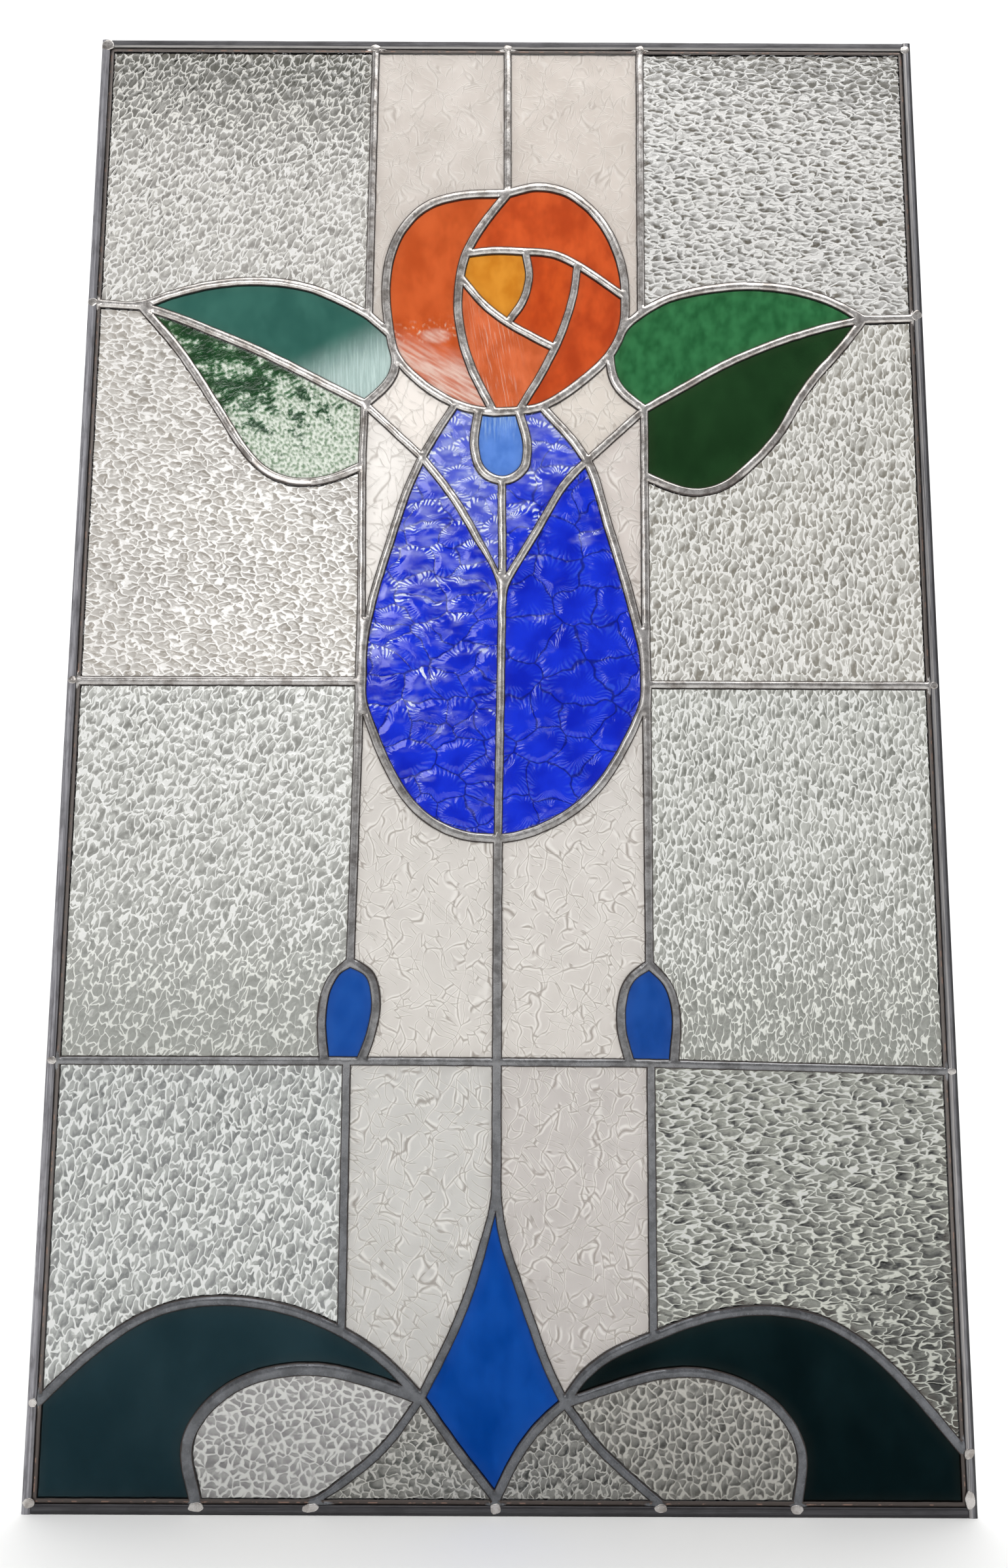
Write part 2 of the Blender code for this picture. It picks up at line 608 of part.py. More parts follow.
def bead_sheet(edges, faces):
    """Front of the solder net: ridges along the lines, sloping to the foot of each bead."""
    places = []
    depths = []
    pairs = []

    def add_run(points, depth, closed):
        first = len(places)
        places.extend(points)
        depths.extend([depth] * len(points))
        count = len(points)
        pairs.extend((first + index, first + (index + 1) % count)
                     for index in range(count if closed else count - 1))

    for *_, width, points in edges:
        if width == EDGE:
            add_run(rim_points(*points), SLOT + RIM_HEIGHT, closed=False)
        else:
            add_run(points, SLOT + BEAD_HEIGHT, closed=False)
    openings = [inset(face, bead_margin) for face in faces]
    for opening in openings:
        add_run(opening, SLOT, closed=True)

    found, _, triangles, sources, _, _ = delaunay_2d_cdt(places, pairs, [], 1, WELD_DISTANCE)
    sheet = bmesh.new()
    corners = []
    for place, source in zip(found, sources):
        depth = max(depths[index] for index in source)
        corners.append(sheet.verts.new((place.x, -depth, place.y)))
    for triangle in triangles:
        middle = sum((found[index] for index in triangle), Vector((0, 0))) / 3
        if not any(contains(opening, middle) for opening in openings):
            sheet.faces.new([corners[index] for index in triangle])
    return sheet


def rim_points(start, end):
    """A stretch of the border, with a point where the bead at each end slopes down to it."""
    reach = (end - start).normalized() * BEAD_WIDE / 2
    return [start, start + reach, end - reach, end]


def make_solder(edges, faces, seats, collection):
    sheet = bead_sheet(edges, faces)
    rim = [edge for edge in sheet.edges if edge.is_boundary]
    wall = bmesh.ops.extrude_edge_only(sheet, edges=rim)
    for item in wall["geom"]:
        if isinstance(item, bmesh.types.BMVert):
            item.co.y = 0.0
    bmesh.ops.recalc_face_normals(sheet, faces=sheet.faces)
    mesh = bpy.data.meshes.new("solder_net")
    sheet.to_mesh(mesh)
    sheet.free()
    net = bpy.data.objects.new("solder_net", mesh)
    collection.objects.link(net)
    mesh.materials.append(make_material(*SOLDER))
    mirror = net.modifiers.new("back face", "MIRROR")
    mirror.use_axis = (False, True, False)
    mirror.merge_threshold = WELD_DISTANCE
    cut = net.modifiers.new("seats of the panes", "BOOLEAN")
    cut.operation = "DIFFERENCE"
    cut.object = seats


def make_seats(faces, collection):
    outlines = [inset(face, seat_margin) for face in faces]
    seats = flat_piece("pane_seats", outlines, SLOT, collection)
    seats.matrix_world = UPRIGHT
    seats = made_mesh(seats)
    seats.hide_render = True
    seats.display_type = "WIRE"
    return seats


def main():
    for item in list(bpy.data.objects):
        bpy.data.objects.remove(item)
    panel = bpy.data.collections.new("stained_glass_panel")
    cutters = bpy.data.collections.new("cutters")
    bpy.context.scene.collection.children.link(panel)
    bpy.context.scene.collection.children.link(cutters)

    edges = edges_between_joints(FACET_IN_SIGHT)
    faces = faces_of(edges)
    hidden_faces = faces_of(edges_between_joints(FACET_HIDDEN))
    for name, place, material in PANES:
        make_pane(name, face_around(hidden_faces, place), material, panel)
    make_edge(panel)
    make_solder(edges, faces, make_seats(hidden_faces, cutters), panel)


main()
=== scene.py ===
"""Stained glass panel, dressed: pressed and tinted panes, run solder, tinned foil and lead.

Lengths are in millimetres until a mesh is made. X runs across the panel, Z runs up it, and
the front faces -Y.
"""

from math import cos, hypot, pi, radians, sin

import bpy
import numpy as np
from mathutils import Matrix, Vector, kdtree, noise
from mathutils.geometry import delaunay_2d_cdt

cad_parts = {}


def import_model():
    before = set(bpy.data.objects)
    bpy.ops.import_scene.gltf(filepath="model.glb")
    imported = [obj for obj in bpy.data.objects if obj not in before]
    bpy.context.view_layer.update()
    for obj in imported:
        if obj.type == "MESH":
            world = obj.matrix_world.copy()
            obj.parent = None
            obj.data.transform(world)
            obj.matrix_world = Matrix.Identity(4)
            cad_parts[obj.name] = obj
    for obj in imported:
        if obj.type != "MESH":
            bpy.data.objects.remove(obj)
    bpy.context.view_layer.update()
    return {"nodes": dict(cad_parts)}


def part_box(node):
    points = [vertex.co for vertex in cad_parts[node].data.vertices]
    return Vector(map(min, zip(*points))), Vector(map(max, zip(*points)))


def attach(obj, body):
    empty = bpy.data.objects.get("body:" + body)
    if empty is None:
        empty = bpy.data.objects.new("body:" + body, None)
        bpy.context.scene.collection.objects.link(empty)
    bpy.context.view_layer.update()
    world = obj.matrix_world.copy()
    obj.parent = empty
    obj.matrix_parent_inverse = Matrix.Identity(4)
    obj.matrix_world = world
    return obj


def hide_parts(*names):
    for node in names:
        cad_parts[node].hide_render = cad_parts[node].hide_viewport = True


MM = 0.001

# Depth of the glass's faces from the middle of the panel
GLASS_FACE = 1.5

# Solder: the dark edge of its foil, the foot of the bead, and the bead's usual height there
FOIL_DEPTH = 1.53
FOOT_DEPTH = 1.60
BEAD_HEIGHT = 1.25
FOIL_SHOWING = 0.45
DEEPEST_SOLDER = 3.17

# Rows of fine triangles along the edge of a pane's front, counted from the foot of the bead
EDGE_ROWS = (0.15, 0.9, 2.0)

# Hands aren't steady: how far the foot of a bead strays, and over which length
STRAY = 0.22
STRAY_LENGTH = 8.0

# A seam is no wider than this, and the flat rim beside the lead carries rows of corners so far
WIDEST_SEAM = 10.0
RIM_REACH = 3.6

# Where the second nearest pane is as far as this there is no bead, and it grows up to its full
# height over the parting. Panes are looked for no further away than the reach
BEADS_PART = 10.5
PARTING = 4.0
REACH = 14.0

# The dabs on the lead: the depth of their foot, their height and the deepest that they go
DAB_FOOT = 2.72
DAB_HEIGHT = 0.42
DEEPEST_DAB = 3.19

# Corners that turn by more than this stay sharp, and longer legs than this stay straight
SHARP = radians(35)
LONGEST_BEND = 45.0

# How far a gentle corner is eased, as a share of the size of the opening that it belongs to
EASE = 0.045

# How bright a white surface behind clear glass looks through it, and the part of a tinted
# pane's tone that light from the floor adds
BACKLIGHT = 1.12
FLOOR_SHARE = 0.08


# Drawing on a board of nodes


class Wire:
    """A value on its way from one node to the next, so that sums can be written as sums."""

    def __init__(self, board, socket):
        self.board = board
        self.socket = socket

    def beside(self, name):
        """Another output of the same node."""
        return Wire(self.board, picked(self.socket.node.outputs, name))

    def maths(self, operation, *values):
        return self.board.node("ShaderNodeMath", {"operation": operation},
                               dict(enumerate((self, *values))))

    def __add__(self, other):
        return self.maths("ADD", other)

    __radd__ = __add__

    def __mul__(self, other):
        return self.maths("MULTIPLY", other)

    __rmul__ = __mul__

    def __sub__(self, other):
        return self.maths("SUBTRACT", other)

    def __rsub__(self, other):
        return self * -1 + other

    def __truediv__(self, other):
        return self.maths("DIVIDE", other)

    def larger(self, other):
        return self.maths("MAXIMUM", other)

    def smaller(self, other):
        return self.maths("MINIMUM", other)

    def rise(self, start, end):
        """0 before the start and 1 after the end, with a smooth slope between."""
        return self.board.node("ShaderNodeMapRange", {"interpolation_type": "SMOOTHSTEP"},
                               {"Value": self, "From Min": start, "From Max": end}, out="Result")


def picked(sockets, name):
    if isinstance(name, int):
        return sockets[name]
    return next(socket for socket in sockets if name in (socket.identifier, socket.name))


class Board:
    """The nodes of one material, one relief or the surroundings."""

    def __init__(self, tree):
        self.tree = tree
        tree.nodes.clear()

    def node(self, kind, settings=None, values=None, out=0):
        """Add a node, with its settings first and then what its sockets hold."""
        item = self.tree.nodes.new(kind)
        for name, value in (settings or {}).items():
            setattr(item, name, value)
        for name, value in (values or {}).items():
            socket = picked(item.inputs, name)
            if isinstance(value, Wire):
                self.tree.links.new(value.socket, socket)
            else:
                socket.default_value = value
        return Wire(self, picked(item.outputs, out)) if len(item.outputs) else None

    def bump(self, height, distance):
        return self.node("ShaderNodeBump", {}, {"Height": height, "Distance": distance})

    def shade(self, values):
        """The material's shader, with what its sockets hold."""
        shader = self.node("ShaderNodeBsdfPrincipled", {}, values)
        self.node("ShaderNodeOutputMaterial", {}, {"Surface": shader})

    def spot(self):
        """Where the surface is, in millimetres: across, towards the back, and up."""
        if self.tree.bl_idname == "GeometryNodeTree":
            place = self.node("GeometryNodeInputPosition")
        else:
            place = self.node("ShaderNodeTexCoord", out="Object")
        across = self.node("ShaderNodeSeparateXYZ", {}, {0: place}) * (1 / MM)
        parts = across.socket.node.inputs[0].links[0].from_node
        back, up = (Wire(self, parts.outputs[axis]) * (1 / MM) for axis in (1, 2))
        return across, back, up

    def point(self, u, v, w=0.0):
        return self.node("ShaderNodeCombineXYZ", {}, {0: u, 1: v, 2: w})

    def cloud(self, u, v, seed=0.0, detail=2.0, roughness=0.5):
        """Soft noise from 0 to 1, with spots about one unit wide."""
        return self.node("ShaderNodeTexNoise", {"noise_dimensions": "3D"},
                         {"Vector": self.point(u, v, seed), "Scale": 1.0, "Detail": detail,
                          "Roughness": roughness}, out="Fac")

    def cells(self, u, v, feature="F1", out="Distance"):
        """Irregular cells about one unit wide."""
        return self.node("ShaderNodeTexVoronoi",
                         {"voronoi_dimensions": "2D", "feature": feature},
                         {"Vector": self.point(u, v), "Scale": 1.0, "Randomness": 1.0}, out=out)

    def blend(self, share, first, second):
        """A colour on its way from the first to the second."""
        return self.node("ShaderNodeMix", {"data_type": "RGBA"},
                         {"Factor_Float": share, "A_Color": first, "B_Color": second},
                         out="Result_Color")

    def level(self, share, first, second):
        """A number on its way from the first to the second."""
        return share * (second - first) + first


def paint(name):
    """A new material, and the board of its nodes."""
    material = bpy.data.materials.new(name)
    material.use_nodes = True
    return material, Board(material.node_tree)


def tint(red, green, blue):
    """A colour as a screen shows it, turned into the amounts of light that it stands for."""
    parts = [value / 255 for value in (red, green, blue)]
    return (*(part / 12.92 if part <= 0.04045 else ((part + 0.055) / 1.055) ** 2.4
              for part in parts), 1.0)


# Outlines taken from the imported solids


def rings(mesh, depth, belongs):
    """Closed runs of (x, z) along the edges at one depth between two kinds of face."""
    facing = {}
    for face in mesh.polygons:
        ends = [tuple(round(value / MM, 3) for value in mesh.vertices[index].co)
                for index in face.vertices]
        for edge in zip(ends, ends[1:] + ends[:1]):
            if all(abs(end[1] - depth) < 0.01 for end in edge):
                facing.setdefault(tuple(sorted(edge)), []).append(face.normal.y)
    beside = {}
    for (first, second), normals in facing.items():
        if first != second and belongs(min(normals), max(normals)):
            beside.setdefault(first, []).append(second)
            beside.setdefault(second, []).append(first)
    runs = []
    while beside:
        at = min(beside)
        run = []
        while at in beside:
            run.append((at[0], at[2]))
            onward = beside.pop(at)
            at = next((end for end in onward if end in beside), None)
        run = np.array(run)
        runs.append(run if signed_area(run) > 0 else run[::-1])
    return runs


def signed_area(ring):
    after = np.roll(ring, -1, axis=0)
    return (ring[:, 0] * after[:, 1] - ring[:, 1] * after[:, 0]).sum() / 2


def inside(ring, places):
    """Which of the places lie inside the ring."""
    result = np.zeros(len(places), bool)
    near = ((places > ring.min(0)) & (places < ring.max(0))).all(1)
    x, z = places[near].T
    found = np.zeros(len(x), bool)
    for (ax, az), (bx, bz) in zip(ring, np.roll(ring, -1, axis=0)):
        if az != bz:
            crossed = (az > z) != (bz > z)
            found ^= crossed & (x < ax + (z - az) / (bz - az) * (bx - ax))
    result[near] = found
    return result


def pulled(before, here, after, pull_before, pull_after):
    return ((here - before) / pull_before - (after - before) / (pull_before + pull_after)
            + (after - here) / pull_after)


def curve_between(before, start, end, after, share):
    """Places on the curve from start to end that flows from one neighbour to the other."""
    pulls = [hypot(*(b - a)) ** 0.5 for a, b in ((before, start), (start, end), (end, after))]
    leaving = pulled(before, start, end, pulls[0], pulls[1]) * pulls[1]
    arriving = pulled(start, end, after, pulls[1], pulls[2]) * pulls[1]
    t = share[:, None]
    return (start * (2 * t ** 3 - 3 * t ** 2 + 1) + end * (3 * t ** 2 - 2 * t ** 3)
            + leaving * (t ** 3 - 2 * t ** 2 + t) + arriving * (t ** 3 - t ** 2))


def smooth_ring(ring, step):
    """The ring drawn as a curve through its corners, which only the sharp ones break."""
    legs = np.roll(ring, -1, axis=0) - ring
    headings = np.arctan2(legs[:, 1], legs[:, 0])
    turns = np.abs((headings - np.roll(headings, 1) + pi) % (2 * pi) - pi)
    count = len(ring)
    straight = np.hypot(*legs.T) > LONGEST_BEND
    places = []
    give = []
    for here in range(count):
        there = (here + 1) % count
        start, end = ring[here], ring[there]
        before = 2 * start - end if turns[here] > SHARP or straight[here] else ring[here - 1]
        after = (2 * end - start if turns[there] > SHARP or straight[here]
                 else ring[(here + 2) % count])
        steps = max(1, round(hypot(*legs[here]) / step))
        places.append(curve_between(before, start, end, after, np.arange(steps) / steps))
        give += [0.0 if turns[here] > SHARP else 0.5] + [0.5] * (steps - 1)
    places = np.concatenate(places)
    give = np.array(give)[:, None]
    for _ in range(round(2 * EASE ** 2 * abs(signed_area(ring)) / step ** 2)):
        middles = (np.roll(places, 1, axis=0) + np.roll(places, -1, axis=0)) / 2
        places = places + give * (middles - places)
    return places


def beside_ring(ring, distance):
    """The ring moved by a distance into the opening that it runs around."""
    legs = np.roll(ring, -1, axis=0) - ring
    legs /= np.maximum(np.hypot(*legs.T), 0.001)[:, None]
    left = np.stack([-legs[:, 1], legs[:, 0]], 1)
    before = np.roll(left, 1, axis=0)
    share = np.maximum(1 + (left * before).sum(1), 0.15)
    return ring + distance * (left + before) / share[:, None]


def unsteady(places, amount, size):
    """The places moved about as by a hand that isn't quite steady."""
    moves = np.array([noise.noise_vector(Vector((x / size, z / size, 0.0)))[:2]
                      for x, z in places])
    return places + moves * amount


def waver(places, size, seed):
    """Soft noise from -1 to 1 at each place."""
    return np.array([noise.noise(Vector((x / size, z / size, seed))) for x, z in places])


def distances(ring, places, reach):
    """How far each place is from the ring, or the reach where that is nearer."""
    far = np.full(len(places), float(reach))
    near = np.flatnonzero(((places > ring.min(0) - reach) & (places < ring.max(0) + reach)).all(1))
    tree = finder(ring)
    for index in near:
        x, z = places[index]
        far[index] = min(reach, tree.find((x, z, 0.0))[2])
    return far


def net_of_triangles(places, loops):
    """Triangles over the places that keep every side of the loops: places, sources, triangles."""
    pairs = []
    for loop in loops:
        pairs.extend(zip(loop, np.roll(loop, -1)))
    pairs = [(int(a), int(b)) for a, b in pairs]
    found, _, triangles, sources, _, _ = delaunay_2d_cdt(
        [Vector(place) for place in places], pairs, [], 1, 0.0001)
    return np.array([tuple(place) for place in found]), sources, np.array(triangles)


def finder(places):
    """A tree that finds the nearest of the places."""
    tree = kdtree.KDTree(len(places))
    for index, (x, z) in enumerate(places):
        tree.insert((x, z, 0.0), index)
    tree.balance()
    return tree


def clear_of(openings, places, triangles):
    """The triangles that lie outside every opening."""
    middles = places[triangles].mean(1)
    covered = np.zeros(len(triangles), bool)
    for opening in openings:
        covered |= inside(opening, middles)
    return triangles[~covered]


def skin(rows, around, start=0):
    """Faces between rows of corners that each run around the same number of places."""
    return [(start + row * around + index, start + row * around + (index + 1) % around,
             start + (row + 1) * around + (index + 1) % around, start + (row + 1) * around + index)
            for row in range(rows - 1) for index in range(around)]


def thing(name, corners, faces, smooth, material):
    """A piece that rides with the panel. Its corners are in millimetres."""
    mesh = bpy.data.meshes.new(name)
    mesh.from_pydata([tuple(float(value) * MM for value in corner) for corner in corners], [],
                     [tuple(int(index) for index in face) for face in faces])
    mesh.polygons.foreach_set("use_smooth", smooth)
    mesh.materials.append(material)
    mesh.validate()
    piece = bpy.data.objects.new(name, mesh)
    bpy.context.scene.collection.objects.link(piece)
    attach(piece, "root")
    return piece


# Relief and colour of the glass


def turned(x, z, angle):
    """Along and across a direction, which is given by its angle from the level."""
    return (x * cos(radians(angle)) + z * sin(radians(angle)),
            z * cos(radians(angle)) - x * sin(radians(angle)))


def hammered(board, x, z, angle, length, breadth, seed, net, swirl):
    """A field of small pressed lenses: how high it is, and the painted light on it: bright painted
    lines along its net, a painted highlight at the lens edges, painted shade across each lens and
    small painted glows.
    """
    along, across = turned(x, z, angle)
    u = along / length + seed * 7
    v = across / breadth
    sway = board.cloud(along / 16, across / 16, seed) - 0.5
    drift = board.cloud(along / 16, across / 16, seed + 5) - 0.5
    curl = board.cloud(u, v, seed + 6, 1.0) - 0.5
    bend = board.cloud(u, v, seed + 8, 1.0) - 0.5
    u = u + sway * 1.4 + curl * swirl
    v = v + drift * 1.8 + bend * swirl
    edge = board.cells(u, v, "DISTANCE_TO_EDGE")
    thick = (board.cloud(u * 0.9, v * 0.9, seed + 9, 1.0) - 0.30).larger(0.03) * (0.36 * net)
    gate = board.cloud(u * 0.8, v * 0.8, seed + 12, 1.0).rise(0.32, 0.46)
    stroke = edge.rise(thick * 1.4 + 0.03, thick * 0.5) * gate
    halo = edge.rise(0.28, 0.02)
    middle = board.node("ShaderNodeSeparateXYZ", {}, {0: board.cells(u, v, out="Position")})
    lean = (u - middle + v - middle.beside(1)).rise(-0.5, 0.5)
    glow = board.cloud(along / 2.6, across / 2.0, seed + 7, 1.0).rise(0.48, 0.80)
    # Painted light: the net's bright lines, a painted highlight near the edges, painted shade from
    # one side of each lens to the other, and soft painted glows
    light = stroke * 0.88 + halo * halo * 0.12 + lean * 0.21 + glow * 0.10
    return edge.rise(0.0, 0.42), light.smaller(1.0)


def seen(tone, plain):
    """The front's colour that shows a tone when the light has come through a plain back."""
    return (*((part / BACKLIGHT) ** 2 / back for part, back in zip(tone[:3], plain)), 1.0)


def growing(x, z, start, end):
    """0 at the first place and beyond it, 1 at the second place and beyond that."""
    right, up = end[0] - start[0], end[1] - start[1]
    return ((x - start[0]) * right + (z - start[1]) * up).rise(0.0, right * right + up * up)


def clear_glass(angle, length, breadth, seed, dark, bright, net=1.0, shade=None, swirl=1.4):
    """Clear glass with a pressed face. The shade runs from one place to another, to a tone."""
    plain = [(low * 0.6 + high * 0.4) / BACKLIGHT
             for low, high in zip(tint(*dark)[:3], tint(*bright))]

    def height(board, x, z):
        return hammered(board, x, z, angle, length, breadth, seed, net, swirl)[0]

    def colour(board, x, z):
        high, light = hammered(board, x, z, angle, length, breadth, seed, net, swirl)
        broad = board.cloud(x / 45, z / 45, seed + 2).rise(0.3, 0.7)
        base = board.blend(broad, seen(tint(*(value - 15 for value in dark)), plain),
                           seen(tint(*(value + 3 for value in dark)), plain))
        # Painted light: the bright tone where the net of the lenses is painted lit
        base = board.blend(light, base, seen(tint(*bright), plain))
        if shade is not None:
            start, end, tone = shade
            base = board.blend(growing(x, z, start, end) * (1 - light * 0.45), base,
                               seen(tint(*tone), plain))
        return base, board.level(light, 0.06, 0.16), high

    return {"height": height, "press": 0.32, "colour": colour, "clear": 1.0, "grid": 1.8,
            "bump": 0.00025, "slot": "clear_textured_glass", "plain": plain}


def creased(board, x, z, seed):
    """Curved creases like those of leaves laid on each other: the height, and the painted shade
    and painted light on their two sides.
    """
    sway = board.cloud(x / 24, z / 24, seed, 1.0) - 0.5
    drift = board.cloud(x / 24, z / 24, seed + 4, 1.0) - 0.5
    u = x + sway * 26
    v = z + drift * 26
    along, across = turned(u, v, 62)
    large = board.cells(along / 32 + seed, across / 10, "DISTANCE_TO_EDGE")
    along, across = turned(u, v, -38)
    small = board.cells(along / 18 + seed, across / 5, "DISTANCE_TO_EDGE")
    gate = board.cloud(x / 12, z / 12, seed + 6).rise(0.34, 0.46)
    other = board.cloud(x / 10, z / 10, seed + 8).rise(0.40, 0.54)
    depth = z.rise(900.0, 500.0) * 0.4 + 0.6
    # Painted shade on the dark side of a crease and painted light on its pale side
    dark = (large.rise(0.032, 0.006) * gate).larger(small.rise(0.060, 0.012) * other) * depth
    pale = (large.rise(0.03, 0.05) * large.rise(0.11, 0.06) * gate).larger(
        small.rise(0.05, 0.08) * small.rise(0.16, 0.09) * other) * depth
    swell = board.cloud(x / 8, z / 10, seed + 11, 3.0)
    return swell * 0.5 - dark * 0.4 + pale * 0.2 + 0.3, dark, pale


def cream_glass(seed, top, foot):
    """Pale glass with creased relief that light comes through softly."""
    def height(board, x, z):
        return creased(board, x, z, seed)[0]

    def colour(board, x, z):
        high, dark, pale = creased(board, x, z, seed)
        base = board.blend(z.rise(120.0, 950.0), tint(*foot), tint(*top))
        broad = board.cloud(x / 24, z / 24, seed + 1).rise(0.3, 0.7)
        base = board.blend(broad * 0.4, base, tint(*(value - 18 for value in foot)))
        # Painted light on the pale sides of the creases, painted shade on their dark sides
        base = board.blend(pale * 0.50, base, tint(255, 252, 246))
        base = board.blend(dark * 0.62, base, tint(138, 128, 118))
        return base, board.level(dark, 0.34, 0.45), high

    return {"height": height, "press": 0.15, "colour": colour, "clear": 0.92, "grid": 2.4,
            "bump": 0.00025, "slot": "pale_creased_glass", "dim": 0.22}


def plain_glass(slot, deep, light, size=22, seed=0.0, glare=None, gloss=0.3, bend=1.5):
    """Cathedral glass: an almost flat face, softly mottled, with a glare where one is given."""
    def height(board, x, z):
        return board.cloud(x / 16, z / 16, seed)

    def colour(board, x, z):
        base = board.blend(board.cloud(x / size, z / (size * 1.6), seed + 1, 4.0, 0.6).rise(
            0.30, 0.70), tint(*deep), tint(*light))
        rough = board.cloud(x / 9, z / 9, seed + 2) * 0.10 + 0.06
        if glare is not None:
            share, pale = glare(board, x, z)
            base = board.blend(share, base, tint(*pale))
        return base, rough, height(board, x, z) + board.cloud(x / 3, z / 3, seed + 6) * 0.06

    return {"height": height, "press": 0.12, "colour": colour, "clear": 0.85, "grid": 3.0,
            "bump": 0.0001, "slot": slot, "gloss": gloss, "bend": bend}


def streaks(board, x, z, angle, length, breadth, seed):
    """Noise that is drawn out along a direction."""
    along, across = turned(x, z, angle)
    return board.cloud(along / length, across / breadth, seed, 3.0, 0.6)


def petal_glare(board, x, z):
    """Painted glare: pale streaks of a reflection low on the petal, and a few painted glints above
    them.
    """
    band = (z + x * 0.35).rise(770.0, 745.0) * (z + x * 0.35).rise(712.0, 728.0)
    upper = ((z - x * 0.15).rise(812.0, 800.0) * (z - x * 0.15).rise(786.0, 797.0)
             * board.cloud(x / 4, z / 2.5, 3.0).rise(0.56, 0.66))
    patch = (((x + 50) * (x + 50)) / 170 + ((z - 788) * (z - 788)) / 50).rise(1.0, 0.1)
    glare_streaks = streaks(board, x, z, -32, 26, 2.2, 4.0).rise(0.34, 0.60)
    share = (band * (glare_streaks * 0.8 + 0.2)).larger(upper).larger(
        patch * 0.55 * glare_streaks + patch * 0.25)
    return share, (238, 205, 190)


def petal_streak_glare(board, x, z):
    """Painted glare: fine pale upright streaks of a reflection on the petal."""
    region = ((x + 8) / 22).maths("ABSOLUTE").rise(1.2, 0.3) * z.rise(722.0, 742.0)
    return streaks(board, x, z, 100, 22, 1.1, 6.0).rise(0.52, 0.70) * region * 0.7, (238, 194, 176)


def leaf_sheen(board, x, z):
    """A painted sheen: a pale reflection in upright streaks that grows to the lower right."""
    reach = (x * 0.55 - z + 846).rise(-12.0, 32.0)
    glare_streaks = streaks(board, x, z, 92, 24, 1.3, 2.0)
    return reach * (glare_streaks.rise(0.35, 0.75) * 0.36 + 0.64), (216, 236, 232)


def wavy_green():
    """Dark green glass with a rippled face that glares to the lower right."""
    def ripple(board, x, z):
        along, across = turned(x, z, 25)
        sway = board.cloud(along / 12, across / 12, 1.0) - 0.5
        return board.cloud(along / 5 + sway * 2, across / 2.2 + sway * 3, 2.0, 3.0, 0.6)

    def colour(board, x, z):
        waves = ripple(board, x, z)
        broad = board.cloud(x / 17, z / 12, 6.0, 3.0, 0.6)
        toward = (x * 0.45 - z + 800).rise(-60.0, 90.0)
        share = (waves * 1.0 + broad * 1.1 + toward * 0.46).rise(1.09, 1.20)
        deep = board.blend(broad.rise(0.3, 0.7), tint(22, 58, 30), tint(44, 92, 50))
        pale = board.blend(board.cloud(x / 2.2, z / 2.2, 9.0).rise(0.35, 0.60),
                           tint(116, 142, 112), tint(236, 242, 230))
        return board.blend(share, deep, pale), board.level(share, 0.10, 0.30), waves

    return {"height": ripple, "press": 0.35, "colour": colour, "clear": 0.85, "grid": 1.8,
            "bump": 0.0003, "slot": "wavy_green_glass", "gloss": 0.3}


def crazed(board, x, z, seed, wide, tall):
    """Large hammered cells with fine folds from their edges: the height, and what it's made of."""
    sway = board.cloud(x / 30, z / 30, seed) - 0.5
    drift = board.cloud(x / 30, z / 30, seed + 3) - 0.5
    u = x / wide + sway * 1.1 + seed
    v = z / tall + drift * 1.1
    edge = board.cells(u, v, "DISTANCE_TO_EDGE")
    middle = board.node("ShaderNodeSeparateXYZ", {}, {0: board.cells(u, v, out="Position")})
    over = v - middle.beside(1)
    round_about = over.maths("ARCTAN2", u - middle)
    folds = (round_about * (wide + 2) + board.cloud(x / 9, z / 9, seed + 5) * 9).maths("SINE")
    near = edge.rise(0.36, 0.04) * board.cloud(x / 11, z / 11, seed + 7).rise(0.36, 0.54)
    return edge.rise(0.0, 0.30) * 0.7 + folds * near * 0.15, edge, folds, near, over


def cobalt_glass(seed, left, right, wide=27, tall=23):
    """Deep blue glass with painted glints and a painted pale sheen. How much of it shows them is
    given at its left and right.
    """
    def height(board, x, z):
        return crazed(board, x, z, seed, wide, tall)[0] + 0.15

    def colour(board, x, z):
        high, edge, folds, near, over = crazed(board, x, z, seed, wide, tall)
        base = board.blend(board.cloud(x / 26, z / 26, seed + 2).rise(0.3, 0.7),
                           tint(8, 34, 196), tint(22, 54, 226))
        base = board.blend(near * folds.rise(-0.2, 0.8) * 0.45, base, tint(64, 104, 240))
        base = board.blend(edge.rise(0.045, 0.010) * 0.75, base, tint(8, 20, 120))
        # Where the painted glints and the painted sheen gather: more to the left and towards the
        # top
        region = board.level(x.rise(-75.0, 60.0), left, right) + (z - 600) * 0.0016
        lit = (board.cloud(x / 24, z / 14, seed + 11, 1.0) + region - 0.5).rise(0.42, 0.60)
        more = (region - 0.5) * 0.3
        edging = near * folds.rise(-0.4, 0.5) * (over + more).rise(-0.10, 0.12)
        broken = (board.cloud(x / 3.5, z / 2.5, seed + 15) + more).rise(0.34, 0.52)
        soft = board.cloud(x / 16, z / 7, seed + 13, 2.0).rise(0.40, 0.70)
        painted_sheen = ((region - 0.54) * 1.4 + (z - 652) * 0.0045).larger(0.0).smaller(0.8) * (
            soft * 0.5 + 0.5) * (region - 0.5).rise(0.0, 0.12)
        base = board.blend(painted_sheen, base, tint(136, 150, 234))
        # Painted glints: white along the folds at the cells' upper edges, and in soft patches
        white = (edging * broken).rise(0.13, 0.42).larger(soft * 0.22) * lit
        return board.blend(white, base, tint(232, 238, 255)), board.level(near, 0.08, 0.20), high

    return {"height": height, "press": 0.45, "colour": colour, "clear": 0.8, "grid": 1.9,
            "bump": 0.0004, "slot": "cobalt_glass", "gloss": 0.3}


def cup_sheen(board, x, z):
    """Pale upright streaks at the top of the cup."""
    return (streaks(board, x, z, 90, 18, 1.6, 3.0).rise(0.40, 0.72) * z.rise(704.0, 724.0) * 0.7,
            (176, 205, 238))


